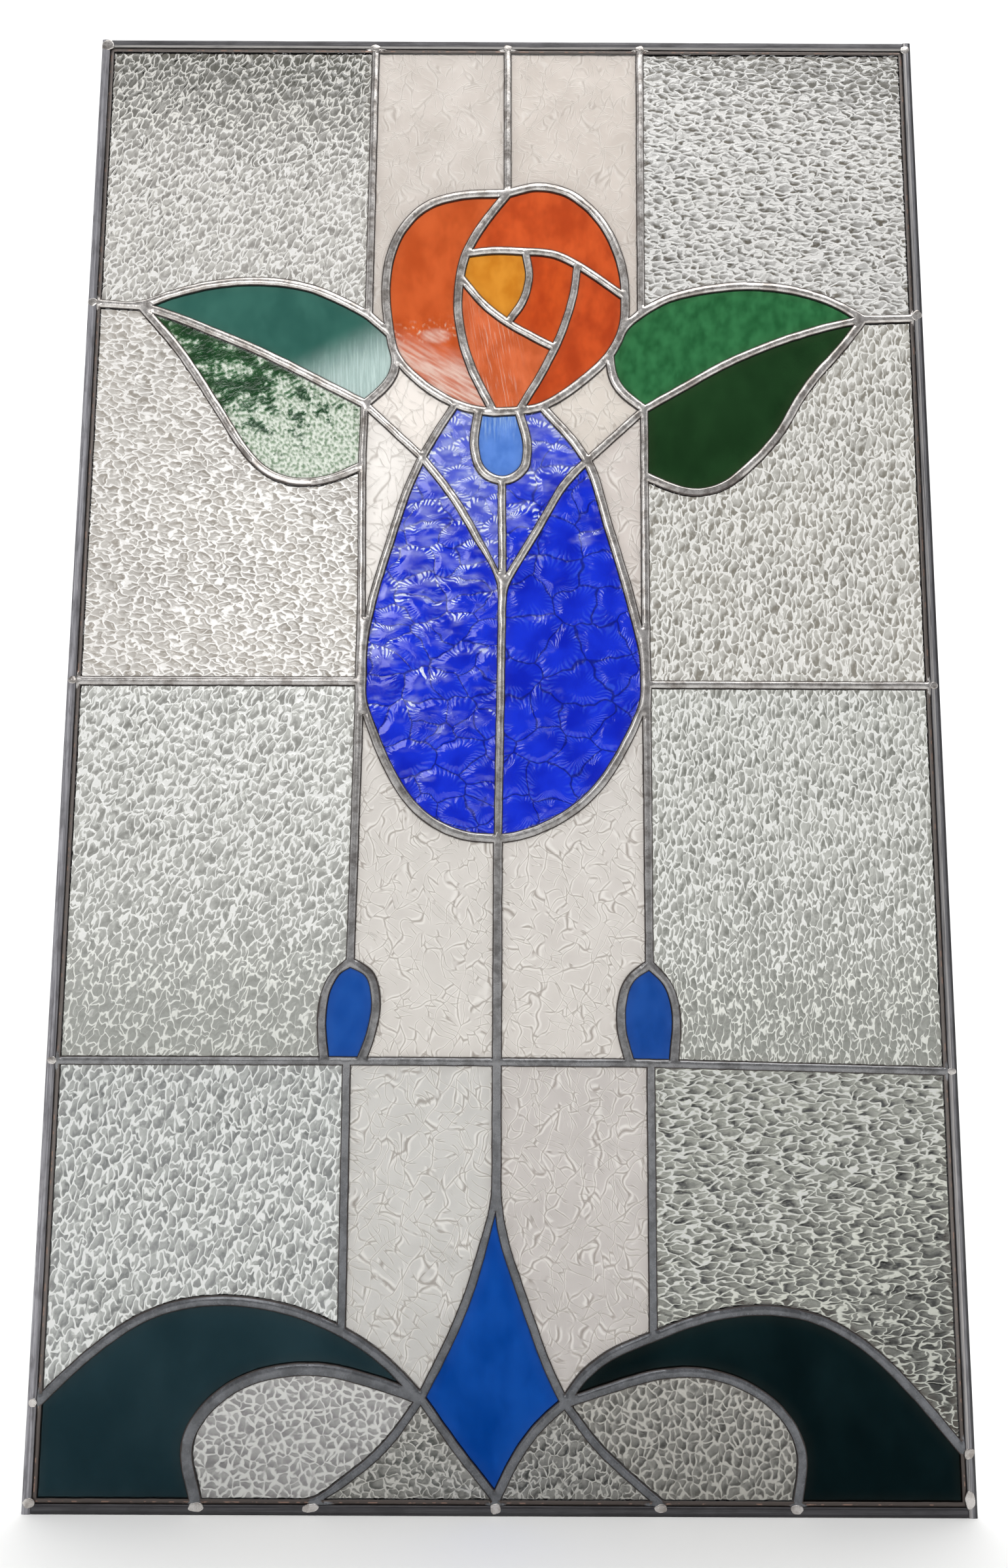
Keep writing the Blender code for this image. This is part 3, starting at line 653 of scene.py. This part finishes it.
def glass_paint(name, finish):
    """The material of a pane: its colours, its gloss and how far light passes through it."""
    material, board = paint(name)
    x, back, z = board.spot()
    colour, rough, high = finish["colour"](board, x, z)
    edge = board.node("ShaderNodeAttribute", {"attribute_name": "from_bead"}, out="Fac")
    if "plain" in finish:
        colour = board.blend(back.rise(-1.0, -0.4), colour, (*finish["plain"], 1.0))
    else:
        colour = board.blend(FLOOR_SHARE, colour, (0.0, 0.0, 0.0, 1.0))
    # Painted shade beside the beads: brownish, fading out over 8 mm into the pane; dim says how
    # strong it is
    shaded = board.blend(edge.rise(8.0, 0.0) * back.rise(-1.0, -1.3) * finish.get("dim", 0.1),
                         colour, tint(96, 80, 66))
    # A narrow dark line at the bead's foot: the dark edge of the foil, with painted shade of the
    # bead
    shaded = board.blend(edge.rise(1.6, 0.1) * back.rise(-1.0, -1.3) * 0.8, shaded,
                         tint(38, 30, 26))
    board.shade({"Base Color": shaded, "Roughness": rough,
                 "Normal": board.bump(high, finish["bump"]),
                 "Transmission Weight": finish["clear"], "IOR": finish.get("bend", 1.5),
                 "Specular IOR Level": finish.get("gloss", 0.5)})
    return material


def press(piece, finish):
    """Press the finish's relief into the front of a pane, but not into what the solder covers."""
    tree = bpy.data.node_groups.new(piece.name, "GeometryNodeTree")
    tree.interface.new_socket("Geometry", in_out="INPUT", socket_type="NodeSocketGeometry")
    tree.interface.new_socket("Geometry", in_out="OUTPUT", socket_type="NodeSocketGeometry")
    board = Board(tree)
    body = board.node("NodeGroupInput")
    x, back, z = board.spot()
    edge = board.node("GeometryNodeInputNamedAttribute", {"data_type": "FLOAT"},
                      {"Name": "from_bead"}, out="Attribute")
    share = edge.rise(0.0, 2.0) * back.rise(0.0, -GLASS_FACE)
    sunk = (1 - finish["height"](board, x, z)) * share * (finish["press"] * MM)
    moved = board.node("GeometryNodeSetPosition", {}, {
        "Geometry": body, "Offset": board.point(0.0, sunk, 0.0)})
    board.node("NodeGroupOutput", {}, {"Geometry": moved})
    modifier = piece.modifiers.new("relief", "NODES")
    modifier.node_group = tree
    depsgraph = bpy.context.evaluated_depsgraph_get()
    mesh = bpy.data.meshes.new_from_object(piece.evaluated_get(depsgraph),
                                           preserve_all_data_layers=True, depsgraph=depsgraph)
    piece.modifiers.clear()
    flat = piece.data
    piece.data = mesh
    bpy.data.meshes.remove(flat)
    bpy.data.node_groups.remove(tree)


# How each pane is finished. Clear panes: direction of the lenses, their length and breadth,
# a seed, the dark and the bright tone, how wide their net is, and where a shade runs to
FINISHES = {
    "clear_pane_top_left": clear_glass(62, 7.4, 4.5, 1.0, (158, 155, 150), (255, 253, 246), 1.0,
                                       ((-200, 880), (-190, 1010), (96, 96, 89))),
    "clear_pane_top_right": clear_glass(4, 8.2, 4.5, 2.0, (106, 101, 91), (255, 254, 250), 1.0,
                                        ((190, 940), (200, 1010), (120, 118, 112))),
    "clear_pane_second_left": clear_glass(172, 8.0, 4.8, 3.0, (167, 161, 152), (255, 252, 247)),
    "clear_pane_second_right": clear_glass(84, 8.0, 4.6, 4.0, (140, 136, 126), (255, 254, 247)),
    "clear_pane_third_left": clear_glass(68, 8.2, 5.0, 5.0, (150, 150, 145), (250, 251, 245), 1.0,
                                         ((-200, 460), (-200, 270), (150, 152, 147))),
    "clear_pane_third_right": clear_glass(86, 7.8, 4.0, 6.0, (132, 133, 126), (250, 251, 244), 1.0,
                                          ((200, 460), (220, 260), (136, 138, 132))),
    "clear_pane_fourth_left": clear_glass(78, 8.4, 5.0, 7.0, (125, 127, 127), (231, 234, 230)),
    "clear_pane_fourth_right": clear_glass(3, 9.6, 4.4, 8.0, (50, 51, 53), (212, 214, 204), 1.0,
                                           ((150, 260), (270, 60), (28, 30, 26))),
    "clear_pane_under_left_wave": clear_glass(20, 5.6, 5.2, 9.0, (138, 136, 137), (208, 208, 205),
                                              1.6, swirl=0.5),
    "clear_pane_under_right_wave": clear_glass(85, 6.0, 4.8, 10.0, (66, 65, 60), (177, 175, 168),
                                               1.3, swirl=0.6),
    "clear_triangle_left_of_diamond": clear_glass(15, 5.4, 5.0, 11.0, (70, 73, 68),
                                                  (188, 187, 181), 1.2),
    "clear_triangle_right_of_diamond": clear_glass(70, 5.6, 4.8, 12.0, (28, 34, 29),
                                                   (178, 177, 171)),
    "cream_strip_top_left": cream_glass(1.0, (219, 210, 202), (205, 195, 185)),
    "cream_strip_top_right": cream_glass(2.0, (219, 209, 200), (205, 194, 184)),
    "cream_piece_under_left_leaf": cream_glass(3.0, (254, 246, 238), (251, 243, 235)),
    "cream_piece_under_right_leaf": cream_glass(4.0, (230, 221, 211), (226, 217, 207)),
    "cream_wedge_left_of_drop": cream_glass(5.0, (252, 247, 241), (246, 240, 234)),
    "cream_wedge_right_of_drop": cream_glass(6.0, (224, 215, 208), (216, 207, 201)),
    "cream_strip_third_left": cream_glass(7.0, (222, 217, 211), (218, 213, 207)),
    "cream_strip_third_right": cream_glass(8.0, (220, 216, 211), (217, 211, 205)),
    "cream_strip_fourth_left": cream_glass(9.0, (224, 220, 215), (205, 203, 199)),
    "cream_strip_fourth_right": cream_glass(10.0, (220, 214, 210), (200, 194, 190)),
    "rose_left_petal": plain_glass("orange_glass", (198, 84, 34), (222, 104, 50), 20, 1.0,
                                   petal_glare),
    "rose_top_petal": plain_glass("orange_glass", (194, 74, 28), (226, 98, 44), 18, 2.0),
    "rose_inner_petal": plain_glass("orange_glass", (192, 70, 24), (222, 94, 36), 16, 3.0),
    "rose_bottom_petal": plain_glass("orange_glass", (206, 98, 52), (236, 124, 76), 16, 4.0,
                                     petal_streak_glare),
    "rose_right_petal": plain_glass("orange_glass", (186, 68, 26), (220, 92, 40), 18, 5.0),
    "rose_heart": plain_glass("amber_glass", (214, 134, 32), (234, 158, 52), 14, 6.0),
    "left_leaf_upper_half": plain_glass("teal_glass", (46, 98, 88), (64, 118, 106), 30, 7.0,
                                        leaf_sheen),
    "left_leaf_lower_half": wavy_green(),
    "right_leaf_upper_half": plain_glass("green_glass", (31, 94, 51), (56, 126, 77), 9, 8.0),
    "right_leaf_lower_half": plain_glass("dark_green_glass", (19, 52, 21), (30, 66, 32), 30, 9.0,
                                         gloss=0.12),
    "cup_under_rose": plain_glass("sky_blue_glass", (79, 128, 212), (103, 150, 232), 12, 10.0,
                                  cup_sheen),
    "drop_upper_left": cobalt_glass(1.0, 0.88, 0.76, 19, 13),
    "drop_upper_right": cobalt_glass(2.0, 0.60, 0.43, 24, 20),
    "drop_lower_left": cobalt_glass(3.0, 0.57, 0.44, 24, 18),
    "drop_lower_right": cobalt_glass(4.0, 0.46, 0.32),
    "left_bud": plain_glass("blue_glass", (20, 74, 158), (34, 88, 172), 16, 11.0, gloss=0.06,
                             bend=1.14),
    "right_bud": plain_glass("blue_glass", (20, 70, 150), (34, 84, 166), 16, 12.0, gloss=0.06,
                              bend=1.14),
    "blue_diamond": plain_glass("blue_glass", (0, 64, 152), (18, 82, 174), 28, 13.0, gloss=0.04,
                                bend=1.1),
    "left_wave": plain_glass("dark_sea_glass", (24, 46, 53), (36, 58, 65), 50, 14.0, gloss=0.04,
                             bend=1.1),
    "right_wave": plain_glass("dark_sea_glass", (4, 18, 21), (14, 32, 35), 50, 15.0, gloss=0.02,
                              bend=1.07),
}


def make_pane(name, outline, foot, finish):
    """A cut pane: its front in sight as a fine net of triangles, its back and edge plain."""
    places = [smooth_ring(outline, 5.0)]
    rim_count = len(places[0])
    edge = smooth_ring(foot, 2.2)
    fine = smooth_ring(foot, 0.7)
    for distance in EDGE_ROWS:
        row = beside_ring(edge, distance)
        places.append(row[inside(edge, row) & (distances(fine, row, 5) > distance * 0.8)])
    step = finish["grid"]
    low, high = edge.min(0), edge.max(0)
    columns = np.arange(low[0], high[0], step)
    levels = np.arange(low[1], high[1], step * 0.87)
    grid = np.array([(x + (index % 2) * step / 2, z) for index, z in enumerate(levels)
                     for x in columns])
    grid = grid[inside(edge, grid)]
    places.append(grid[distances(fine, grid, 5) > EDGE_ROWS[-1] + step * 0.5])
    places = np.concatenate(places)

    found, sources, triangles = net_of_triangles(places, [np.arange(rim_count)])
    along_rim = [None] * rim_count
    for index, source in enumerate(sources):
        for place in source:
            if place < rim_count:
                along_rim[place] = index
    count = len(found)
    corners = np.zeros((count + rim_count, 3))
    corners[:count, 0] = found[:, 0]
    corners[:count, 1] = -GLASS_FACE
    corners[:count, 2] = found[:, 1]
    corners[count:] = corners[along_rim]
    corners[count:, 1] = GLASS_FACE
    back = [count + index for index in range(rim_count)]
    faces = [tuple(triangle) for triangle in triangles]
    faces += [(along_rim[index - 1], back[index - 1], back[index], along_rim[index])
              for index in range(rim_count)]
    faces.append(tuple(reversed(back)))
    smooth = [True] * len(triangles) + [False] * (rim_count + 1)
    piece = thing(name + "_glass", corners, faces, smooth, glass_paint(name, finish))
    from_bead = np.zeros(len(corners))
    showing = inside(edge, corners[:, [0, 2]]) & (corners[:, 1] < 0)
    from_bead[showing] = distances(fine, corners[showing][:, [0, 2]], 12)
    layer = piece.data.attributes.new("from_bead", "FLOAT", "POINT")
    layer.data.foreach_set("value", from_bead)
    press(piece, finish)
    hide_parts(name)


# Solder


def make_solder(name, feet, field, side, step, shares, material):
    """The run of solder on one face of the panel: rounded beads between dark edges of foil."""
    feet = [unsteady(smooth_ring(foot, step), STRAY, STRAY_LENGTH) for foot in feet]
    fine = [unsteady(smooth_ring(foot, 0.6), STRAY, STRAY_LENGTH) for foot in feet]
    foils = [beside_ring(foot, FOIL_SHOWING) for foot in feet]
    left, bottom, right, top = field
    border = np.concatenate([
        [(x, bottom) for x in np.arange(left, right, step * 2)],
        [(right, z) for z in np.arange(bottom, top, step * 2)],
        [(x, top) for x in np.arange(right, left, -step * 2)],
        [(left, z) for z in np.arange(top, bottom, -step * 2)]])

    places = []
    loops = []
    for ring in foils + feet + [border]:
        start = sum(map(len, places))
        loops.append(np.arange(start, start + len(ring)))
        places.append(ring)
    foil_end = sum(map(len, foils))
    foot_end = foil_end + sum(map(len, feet))
    border_end = foot_end + len(border)

    for index, foot in enumerate(feet):
        others = np.stack([distances(ring, foot, REACH) if other != index
                           else np.full(len(foot), REACH) for other, ring in enumerate(fine)])
        gap = others.min(0)
        nearest = others.argmin(0)
        gap = np.where(gap < WIDEST_SEAM, gap, RIM_REACH)
        for share in shares:
            moved = foot + (foot - beside_ring(foot, 1.0)) * (gap * share)[:, None]
            keep = np.ones(len(foot), bool)
            if share == 0.5:
                keep = (nearest > index) & (gap != RIM_REACH)
            keep &= (moved[:, 0] > left + 0.3) & (moved[:, 0] < right - 0.3)
            keep &= (moved[:, 1] > bottom + 0.3) & (moved[:, 1] < top - 0.3)
            moved, offset = moved[keep], (gap * share)[keep]
            clearance = np.min([distances(ring, moved, REACH) for ring in fine], axis=0)
            places.append(moved[clearance > offset * 0.8])
    found, sources, triangles = net_of_triangles(np.concatenate(places), loops)

    triangles = clear_of(foils, found, triangles)

    apart = np.sort(np.stack([distances(ring, found, REACH) for ring in fine]), axis=0)
    share = np.clip(2 * apart[0] / np.maximum(apart[0] + apart[1], 0.01), 0, 1)
    dome = np.sqrt(1 - (1 - share) ** 2)
    joined = np.clip((BEADS_PART - apart[1]) / PARTING, 0, 1)
    lumpy = 0.55 + 0.45 * np.clip((found[:, 1] - 150) / 500, 0, 1)
    lumps = (waver(found, 11.0, 0.5) * 0.14 + waver(found, 4.0, 3.5) * 0.10) * lumpy
    flat = 0.26 * np.clip(apart[0] / 0.5, 0, 1) + 0.05 * waver(found, 5.0, 7.5)
    height = joined * dome * (BEAD_HEIGHT + lumps) + (1 - joined) * flat
    depth = np.minimum(FOOT_DEPTH + np.maximum(height, 0.02), DEEPEST_SOLDER)
    place_of = {}
    for index, source in enumerate(sources):
        if not source:
            depth[index] = FOIL_DEPTH
        for place in source:
            place_of[place] = index
            if place < foot_end:
                depth[index] = FOIL_DEPTH if place < foil_end else FOOT_DEPTH

    under, under_sources, under_faces = net_of_triangles(
        np.concatenate(foils + [border]),
        [loop if start < foil_end else loop - foot_end + foil_end
         for loop in loops for start in loop[:1] if start < foil_end or start >= foot_end])
    under_faces = clear_of(foils, under, under_faces)
    count = len(found)
    corners = np.zeros((count + len(border), 3))
    corners[:count] = np.stack([found[:, 0], side * depth, found[:, 1]], 1)
    corners[count:] = np.stack([border[:, 0], np.full(len(border), side * FOIL_DEPTH),
                                border[:, 1]], 1)
    tree = finder(found)
    same = [count + max(source) - foil_end if source and max(source) >= foil_end
            else tree.find((*place, 0.0))[1] for place, source in zip(under, under_sources)]
    faces = [tuple(face) for face in triangles]
    smooth = [True] * len(faces)
    faces += [tuple(same[index] for index in reversed(face)) for face in under_faces]
    edge = [place_of[place] for place in range(foot_end, border_end)]
    faces += [(edge[index - 1], count + (index - 1) % len(edge), count + index, edge[index])
              for index in range(len(edge))]
    smooth += [False] * (len(faces) - len(smooth))
    if side > 0:
        faces = [tuple(reversed(face)) for face in faces]
    kept = [index for index, face in enumerate(faces) if len(set(face)) == len(face)]
    return thing(name, corners, [faces[index] for index in kept],
                 [smooth[index] for index in kept], material)


def solder_paint(name, least):
    """Lumpy metal painted brighter towards the top as painted light, with dark feet of patina and
    painted shade, and foil along the border with a line of bare copper.
    """
    material, board = paint(name)
    x, y, z = board.spot()
    height = y.maths("ABSOLUTE") - FOOT_DEPTH
    # Painted light: the metal is painted brighter towards the top of the panel, and never less
    # than the least
    bright = z.rise(120.0, 760.0).larger(least)
    broad = board.cloud(x / 14, z / 14, 1.0, 4.0, 0.6)
    fine = board.cloud(x / 3.2, z / 3.2, 2.0, 2.0, 0.5)
    dull = board.blend(bright, tint(86, 88, 91), tint(156, 149, 143))
    clean = board.blend(bright, tint(110, 112, 116), tint(213, 209, 205))
    metal = board.blend((broad * 0.85 + fine * 0.25).rise(0.40, 0.66), dull, clean)
    pits = board.cloud(x / 1.6, z / 1.6, 5.0, 1.0).rise(0.74, 0.80)
    metal = board.blend(pits * 0.8, metal, tint(74, 66, 62))
    # Dark feet: patina and flux at the bead's foot, with painted shade there
    foot = height.rise(0.46, 0.06)
    metal = board.blend(foot * 0.90, metal, tint(54, 44, 40))
    border = (x.maths("ABSOLUTE").rise(291.0, 291.6)).larger(z.rise(9.2, 8.6)).larger(
        z.rise(1010.8, 1011.4)) * height.rise(0.75, 0.45)
    dashes = board.cloud(x / 6, z / 6, 8.0, 2.0).rise(0.54, 0.62)
    line = ((x.maths("ABSOLUTE") - 292.8).maths("ABSOLUTE").rise(0.5, 0.25)).larger(
        (z - 7.4).maths("ABSOLUTE").rise(0.5, 0.25)).larger(
        (z - 1012.2).maths("ABSOLUTE").rise(0.5, 0.25))
    foil = board.blend(z.rise(20.0, 120.0), tint(82, 74, 70), tint(112, 105, 101))
    foil = board.blend(dashes * line * 0.6, foil, tint(168, 134, 118))
    colour = board.blend(border, metal, foil)
    rough = fine * 0.28 + foot * 0.3 + 0.12
    metallic = board.level(bright, 0.42, 0.72)
    board.shade({"Base Color": colour, "Roughness": rough, "Metallic": metallic,
                 "Normal": board.bump(fine * 0.3 + broad, 0.0002)})
    return material


# Lead edge


def lead_paint(name, upright):
    """Dull lead, streaked along its length, with a painted highlight along its crown and painted
    shade on some lengths and along its edges.
    """
    material, board = paint(name)
    x, _, z = board.spot()
    along, across = (z, x) if upright else (x, z)
    drawn = board.cloud(along / 55, across / 0.9, 1.0, 4.0, 0.6)
    stained = board.cloud(along / 18, across / 8, 3.0, 3.0, 0.6)
    metal = board.blend(drawn.rise(0.35, 0.68), tint(122, 121, 126), tint(182, 181, 186))
    metal = board.blend(stained.rise(0.45, 0.68) * 0.5, metal, tint(84, 82, 84))
    scratch = board.cloud(along / 16, across / 0.35, 6.0, 1.0).rise(0.64, 0.70)
    metal = board.blend(scratch * 0.6, metal, tint(196, 192, 196))
    if upright:
        # Painted shade: the right-hand length darker, darkest at its outer edge
        metal = board.blend(x.rise(-10.0, 10.0) * 0.50, metal, tint(86, 86, 87))
        metal = board.blend(x.rise(297.4, 298.6) * 0.8, metal, tint(36, 36, 38))
        # Painted highlight along the right-hand length's crown
        glint = (x - 295.4).maths("ABSOLUTE").rise(1.2, 0.5) * drawn.rise(0.34, 0.50)
        metal = board.blend(glint * 0.85, metal, tint(206, 203, 201))
    else:
        # Painted shade: the bottom length darker, darkest at its lowest edge
        metal = board.blend(z.rise(30.0, 10.0) * 0.86, metal, tint(52, 52, 54))
        metal = board.blend(z.rise(2.6, 1.4) * 0.6, metal, tint(34, 34, 36))
        # Painted highlight along the top length's crown
        shine = ((z - 1014.8).maths("ABSOLUTE").rise(1.0, 0.4) * drawn.rise(0.30, 0.45))
        # Painted shade: the top length darker
        metal = board.blend(z.rise(900.0, 1000.0) * 0.76, metal, tint(36, 34, 34))
        metal = board.blend(shine * 0.9, metal, tint(166, 163, 160))
    # Painted shade along the lead's inner edge, where the dark foil also shows
    inner = across.maths("ABSOLUTE").rise(296.6, 295.2) if upright else (
        z.rise(900.0, 1000.0) * z.rise(1012.4, 1011.0)).larger(
        z.rise(60.0, 20.0) * z.rise(3.8, 5.2))
    metal = board.blend(inner * 0.45, metal, tint(38, 35, 38))
    rough = stained * 0.25 + 0.32
    board.shade({"Base Color": metal, "Roughness": rough, "Metallic": 0.6,
                 "Normal": board.bump(drawn + stained * 0.6 + scratch * 0.3, 0.00018)})
    return material


# Half of the came's section: how far in from the panel's edge, and how far from its middle
CAME_SECTION = [(0.05, 2.1), (0.12, 2.5), (0.45, 2.78), (1.2, 2.93), (2.2, 2.98), (3.2, 2.99),
                (4.3, 2.96), (5.2, 2.86), (5.75, 2.62), (5.95, 2.3), (5.98, 1.82), (1.0, 1.82)]


def make_came(node, material):
    """A length of came, with the small dents that soft lead picks up."""
    low, high = (np.array(corner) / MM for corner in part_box(node))
    upright = node in ("came_left", "came_right")
    section = CAME_SECTION + [(across, -depth) for across, depth in reversed(CAME_SECTION)]
    axis = 2 if upright else 0
    stops = np.linspace(low[axis], high[axis], round((high[axis] - low[axis]) / 4.0) + 1)
    if upright:
        outer, inward = (low[0], 1) if node == "came_left" else (high[0], -1)
    else:
        outer, inward = (low[2], 1) if node == "came_bottom" else (high[2], -1)
    corners = []
    for stop in stops:
        for index, (across, depth) in enumerate(section):
            seed = outer / 100 + index * 0.15
            dent = noise.noise(Vector((stop / 14, seed, depth))) * 0.5 + 0.5
            bend = noise.noise(Vector((stop / 45, seed, 9.0))) * 0.5 + 0.5
            if abs(depth) > 2.0:
                depth -= np.sign(depth) * (dent * 0.10 + bend * 0.06)
            if across < 1.0:
                across += bend * 0.12
            place = outer + inward * across
            corners.append((place, depth, stop) if upright else (stop, depth, place))
    around = len(section)
    faces = skin(len(stops), around)
    smooth = [True] * len(faces)
    faces.append(tuple(reversed(range(around))))
    faces.append(tuple(range((len(stops) - 1) * around, len(stops) * around)))
    smooth += [False, False]
    if (inward > 0) == upright:
        faces = [tuple(reversed(face)) for face in faces]
    piece = thing(node + "_lead", corners, faces, smooth, material)
    lip = len(CAME_SECTION) - 2
    for edge in piece.data.edges:
        ends = {index % around for index in edge.vertices}
        if ends in ({lip, lip + 1}, {around - lip - 1, around - lip - 2}):
            edge.use_edge_sharp = True
    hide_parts(node)


# Dabs of solder where beads meet the lead and where two lengths of lead meet: the middle,
# the reach across and up, and the turn in degrees
DABS = [
    (-295.4, 1015.6, 5.2, 4.2, 20), (295.8, 1014.6, 3.6, 3.4, 0), (295.6, 10.8, 3.6, 5.6, 0),
    (-295.6, 6.6, 3.8, 3.4, 0), (-296.4, 811.6, 3.4, 3.6, 0), (295.8, 804.6, 3.6, 4.4, -20),
    (-296.4, 534.2, 3.2, 2.8, 0), (296.0, 533.0, 3.0, 2.6, 0), (-296.2, 278.4, 3.2, 2.6, 0),
    (296.4, 273.8, 3.0, 2.4, 0), (-190.6, 4.6, 5.4, 3.0, 0), (-118.6, 4.4, 5.8, 2.8, 8),
    (-2.6, 4.4, 3.6, 3.4, 0), (101.0, 4.8, 4.4, 2.6, 0), (186.6, 4.6, 4.0, 3.0, 0),
    (-296.4, 66.0, 2.8, 3.0, 30), (296.2, 38.0, 3.2, 4.0, -30), (-97.0, 1014.4, 3.6, 2.8, 0),
    (1.0, 1014.6, 3.4, 2.6, 0), (99.0, 1014.4, 3.4, 2.6, 0),
]


def make_dabs(material):
    """The dabs as one piece: low uneven mounds that grip the face of the lead."""
    corners = []
    faces = []
    rows, around = 7, 28
    for number, (x, z, wide, tall, turn) in enumerate(DABS):
        start = len(corners)
        spin = radians(turn)
        for row in range(rows):
            share = 1 - row / (rows - 0.5)
            for index in range(around):
                angle = 2 * pi * index / around
                uneven = 1 + 0.22 * noise.noise(Vector((cos(angle) * 1.4, sin(angle) * 1.4,
                                                        number * 3.1)))
                u = cos(angle) * wide * share * uneven
                v = sin(angle) * tall * share * uneven
                lump = 0.08 * noise.noise(Vector((u / 1.6, v / 1.6, number * 1.7)))
                depth = DAB_FOOT + DAB_HEIGHT * (1 - share ** 2) ** 0.5 + lump * (1 - share)
                corners.append((x + u * cos(spin) - v * sin(spin), -min(depth, DEEPEST_DAB),
                                z + u * sin(spin) + v * cos(spin)))
        faces += skin(rows, around, start)
        top = start + (rows - 1) * around
        faces.append(tuple(range(top, top + around)))
        faces.append(tuple(reversed(range(start, start + around))))
    corners = np.array(corners)
    corners[:, 0] = np.clip(corners[:, 0], -299.9, 299.9)
    corners[:, 2] = np.clip(corners[:, 2], 0.1, 1019.9)
    thing("solder_dabs_on_lead", corners, faces, [True] * len(faces), material)


# Surroundings


def make_stage():
    """The camera, which the panel's four corners give, the floor, the surroundings and lamps."""
    scene = bpy.context.scene
    camera = bpy.data.objects.new("camera", bpy.data.cameras.new("camera"))
    camera.location = (0.000405, -0.795897, 0.355682)
    camera.rotation_euler = (radians(97.7254), radians(-0.2546), radians(-0.0584))
    camera.data.lens = 27.045
    camera.data.sensor_width = 36.0
    camera.data.clip_start = 0.01
    scene.collection.objects.link(camera)
    scene.camera = camera
    scene.view_settings.view_transform = "Standard"

    half = 14.0
    mesh = bpy.data.meshes.new("floor")
    mesh.from_pydata([(-half, -half, 0), (half, -half, 0), (half, half, 0), (-half, half, 0)], [],
                     [(0, 1, 2, 3)])
    floor = bpy.data.objects.new("floor", mesh)
    scene.collection.objects.link(floor)
    material, board = paint("pale floor")
    x, y, _ = board.spot()
    grey = board.blend(board.cloud(x / 300, y / 300, 1.0), (0.84, 0.84, 0.83, 1.0),
                       (0.88, 0.88, 0.87, 1.0))
    board.shade({"Base Color": grey, "Roughness": 0.7})
    mesh.materials.append(material)

    world = bpy.data.worlds.new("studio")
    world.use_nodes = True
    scene.world = world
    board = Board(world.node_tree)
    facing = board.node("ShaderNodeTexCoord", out="Generated")
    towards = board.node("ShaderNodeSeparateXYZ", {}, {0: facing}, out=1)
    light = board.blend(towards.rise(-0.3, 0.3), (0.13, 0.13, 0.14, 1.0), (1.22, 1.22, 1.22, 1.0))
    sides = towards.beside(0).maths("ABSOLUTE").rise(0.55, 0.85) * towards.rise(0.35, -0.1)
    light = board.blend(sides, light, (0.85, 0.85, 0.86, 1.0))
    light = board.blend(towards.beside(2).rise(0.74, 0.86), light, (2.3, 2.3, 2.3, 1.0))
    sky = board.node("ShaderNodeBackground", {}, {"Color": light, "Strength": 1.0})
    board.node("ShaderNodeOutputWorld", {}, {"Surface": sky})

    for name, place, aim, width, height, power in (
            ("window", (-0.44, -1.45, 1.08), (-0.16, 0.0, 0.61), 0.50, 0.40, 3.4),
            ("overhead", (0.30, -0.90, 2.10), (0.0, 0.0, 0.50), 1.20, 0.50, 7.0)):
        lamp = bpy.data.lights.new(name, "AREA")
        lamp.shape = "RECTANGLE"
        lamp.size = width
        lamp.size_y = height
        lamp.energy = power
        lit = bpy.data.objects.new(name, lamp)
        lit.location = place
        lit.rotation_euler = (Vector(aim) - Vector(place)).to_track_quat("-Z", "Y").to_euler()
        lit.visible_camera = False
        scene.collection.objects.link(lit)


def main():
    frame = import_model()
    make_stage()
    nodes = frame["nodes"]
    feet = rings(nodes["solder_net"].data, -1.8, lambda low, high: low < -0.3 and high > 0.9)
    for name, finish in FINISHES.items():
        outline = rings(nodes[name].data, -GLASS_FACE,
                        lambda low, high: low < -0.9 and high > -0.1)[0]
        foot = next(foot for foot in feet if inside(outline, foot[:1])[0])
        make_pane(name, outline, foot, finish)

    low, high = (np.array(corner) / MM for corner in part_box("solder_net"))
    field = (low[0], low[2], high[0], high[2])
    solder = solder_paint("run solder", 0.0)
    front = make_solder("solder_beads_front", feet, field, -1, 1.8, (0.09, 0.24, 0.5), solder)
    back = make_solder("solder_beads_back", feet, field, 1, 3.0, (0.16, 0.5), solder)
    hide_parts("solder_net")
    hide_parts("solder_net")
    uprights = lead_paint("upright lead", True)
    levels = lead_paint("level lead", False)
    for node in ("came_left", "came_right"):
        make_came(node, uprights)
    for node in ("came_bottom", "came_top"):
        make_came(node, levels)
    make_dabs(solder_paint("dabbed solder", 0.9))


main()
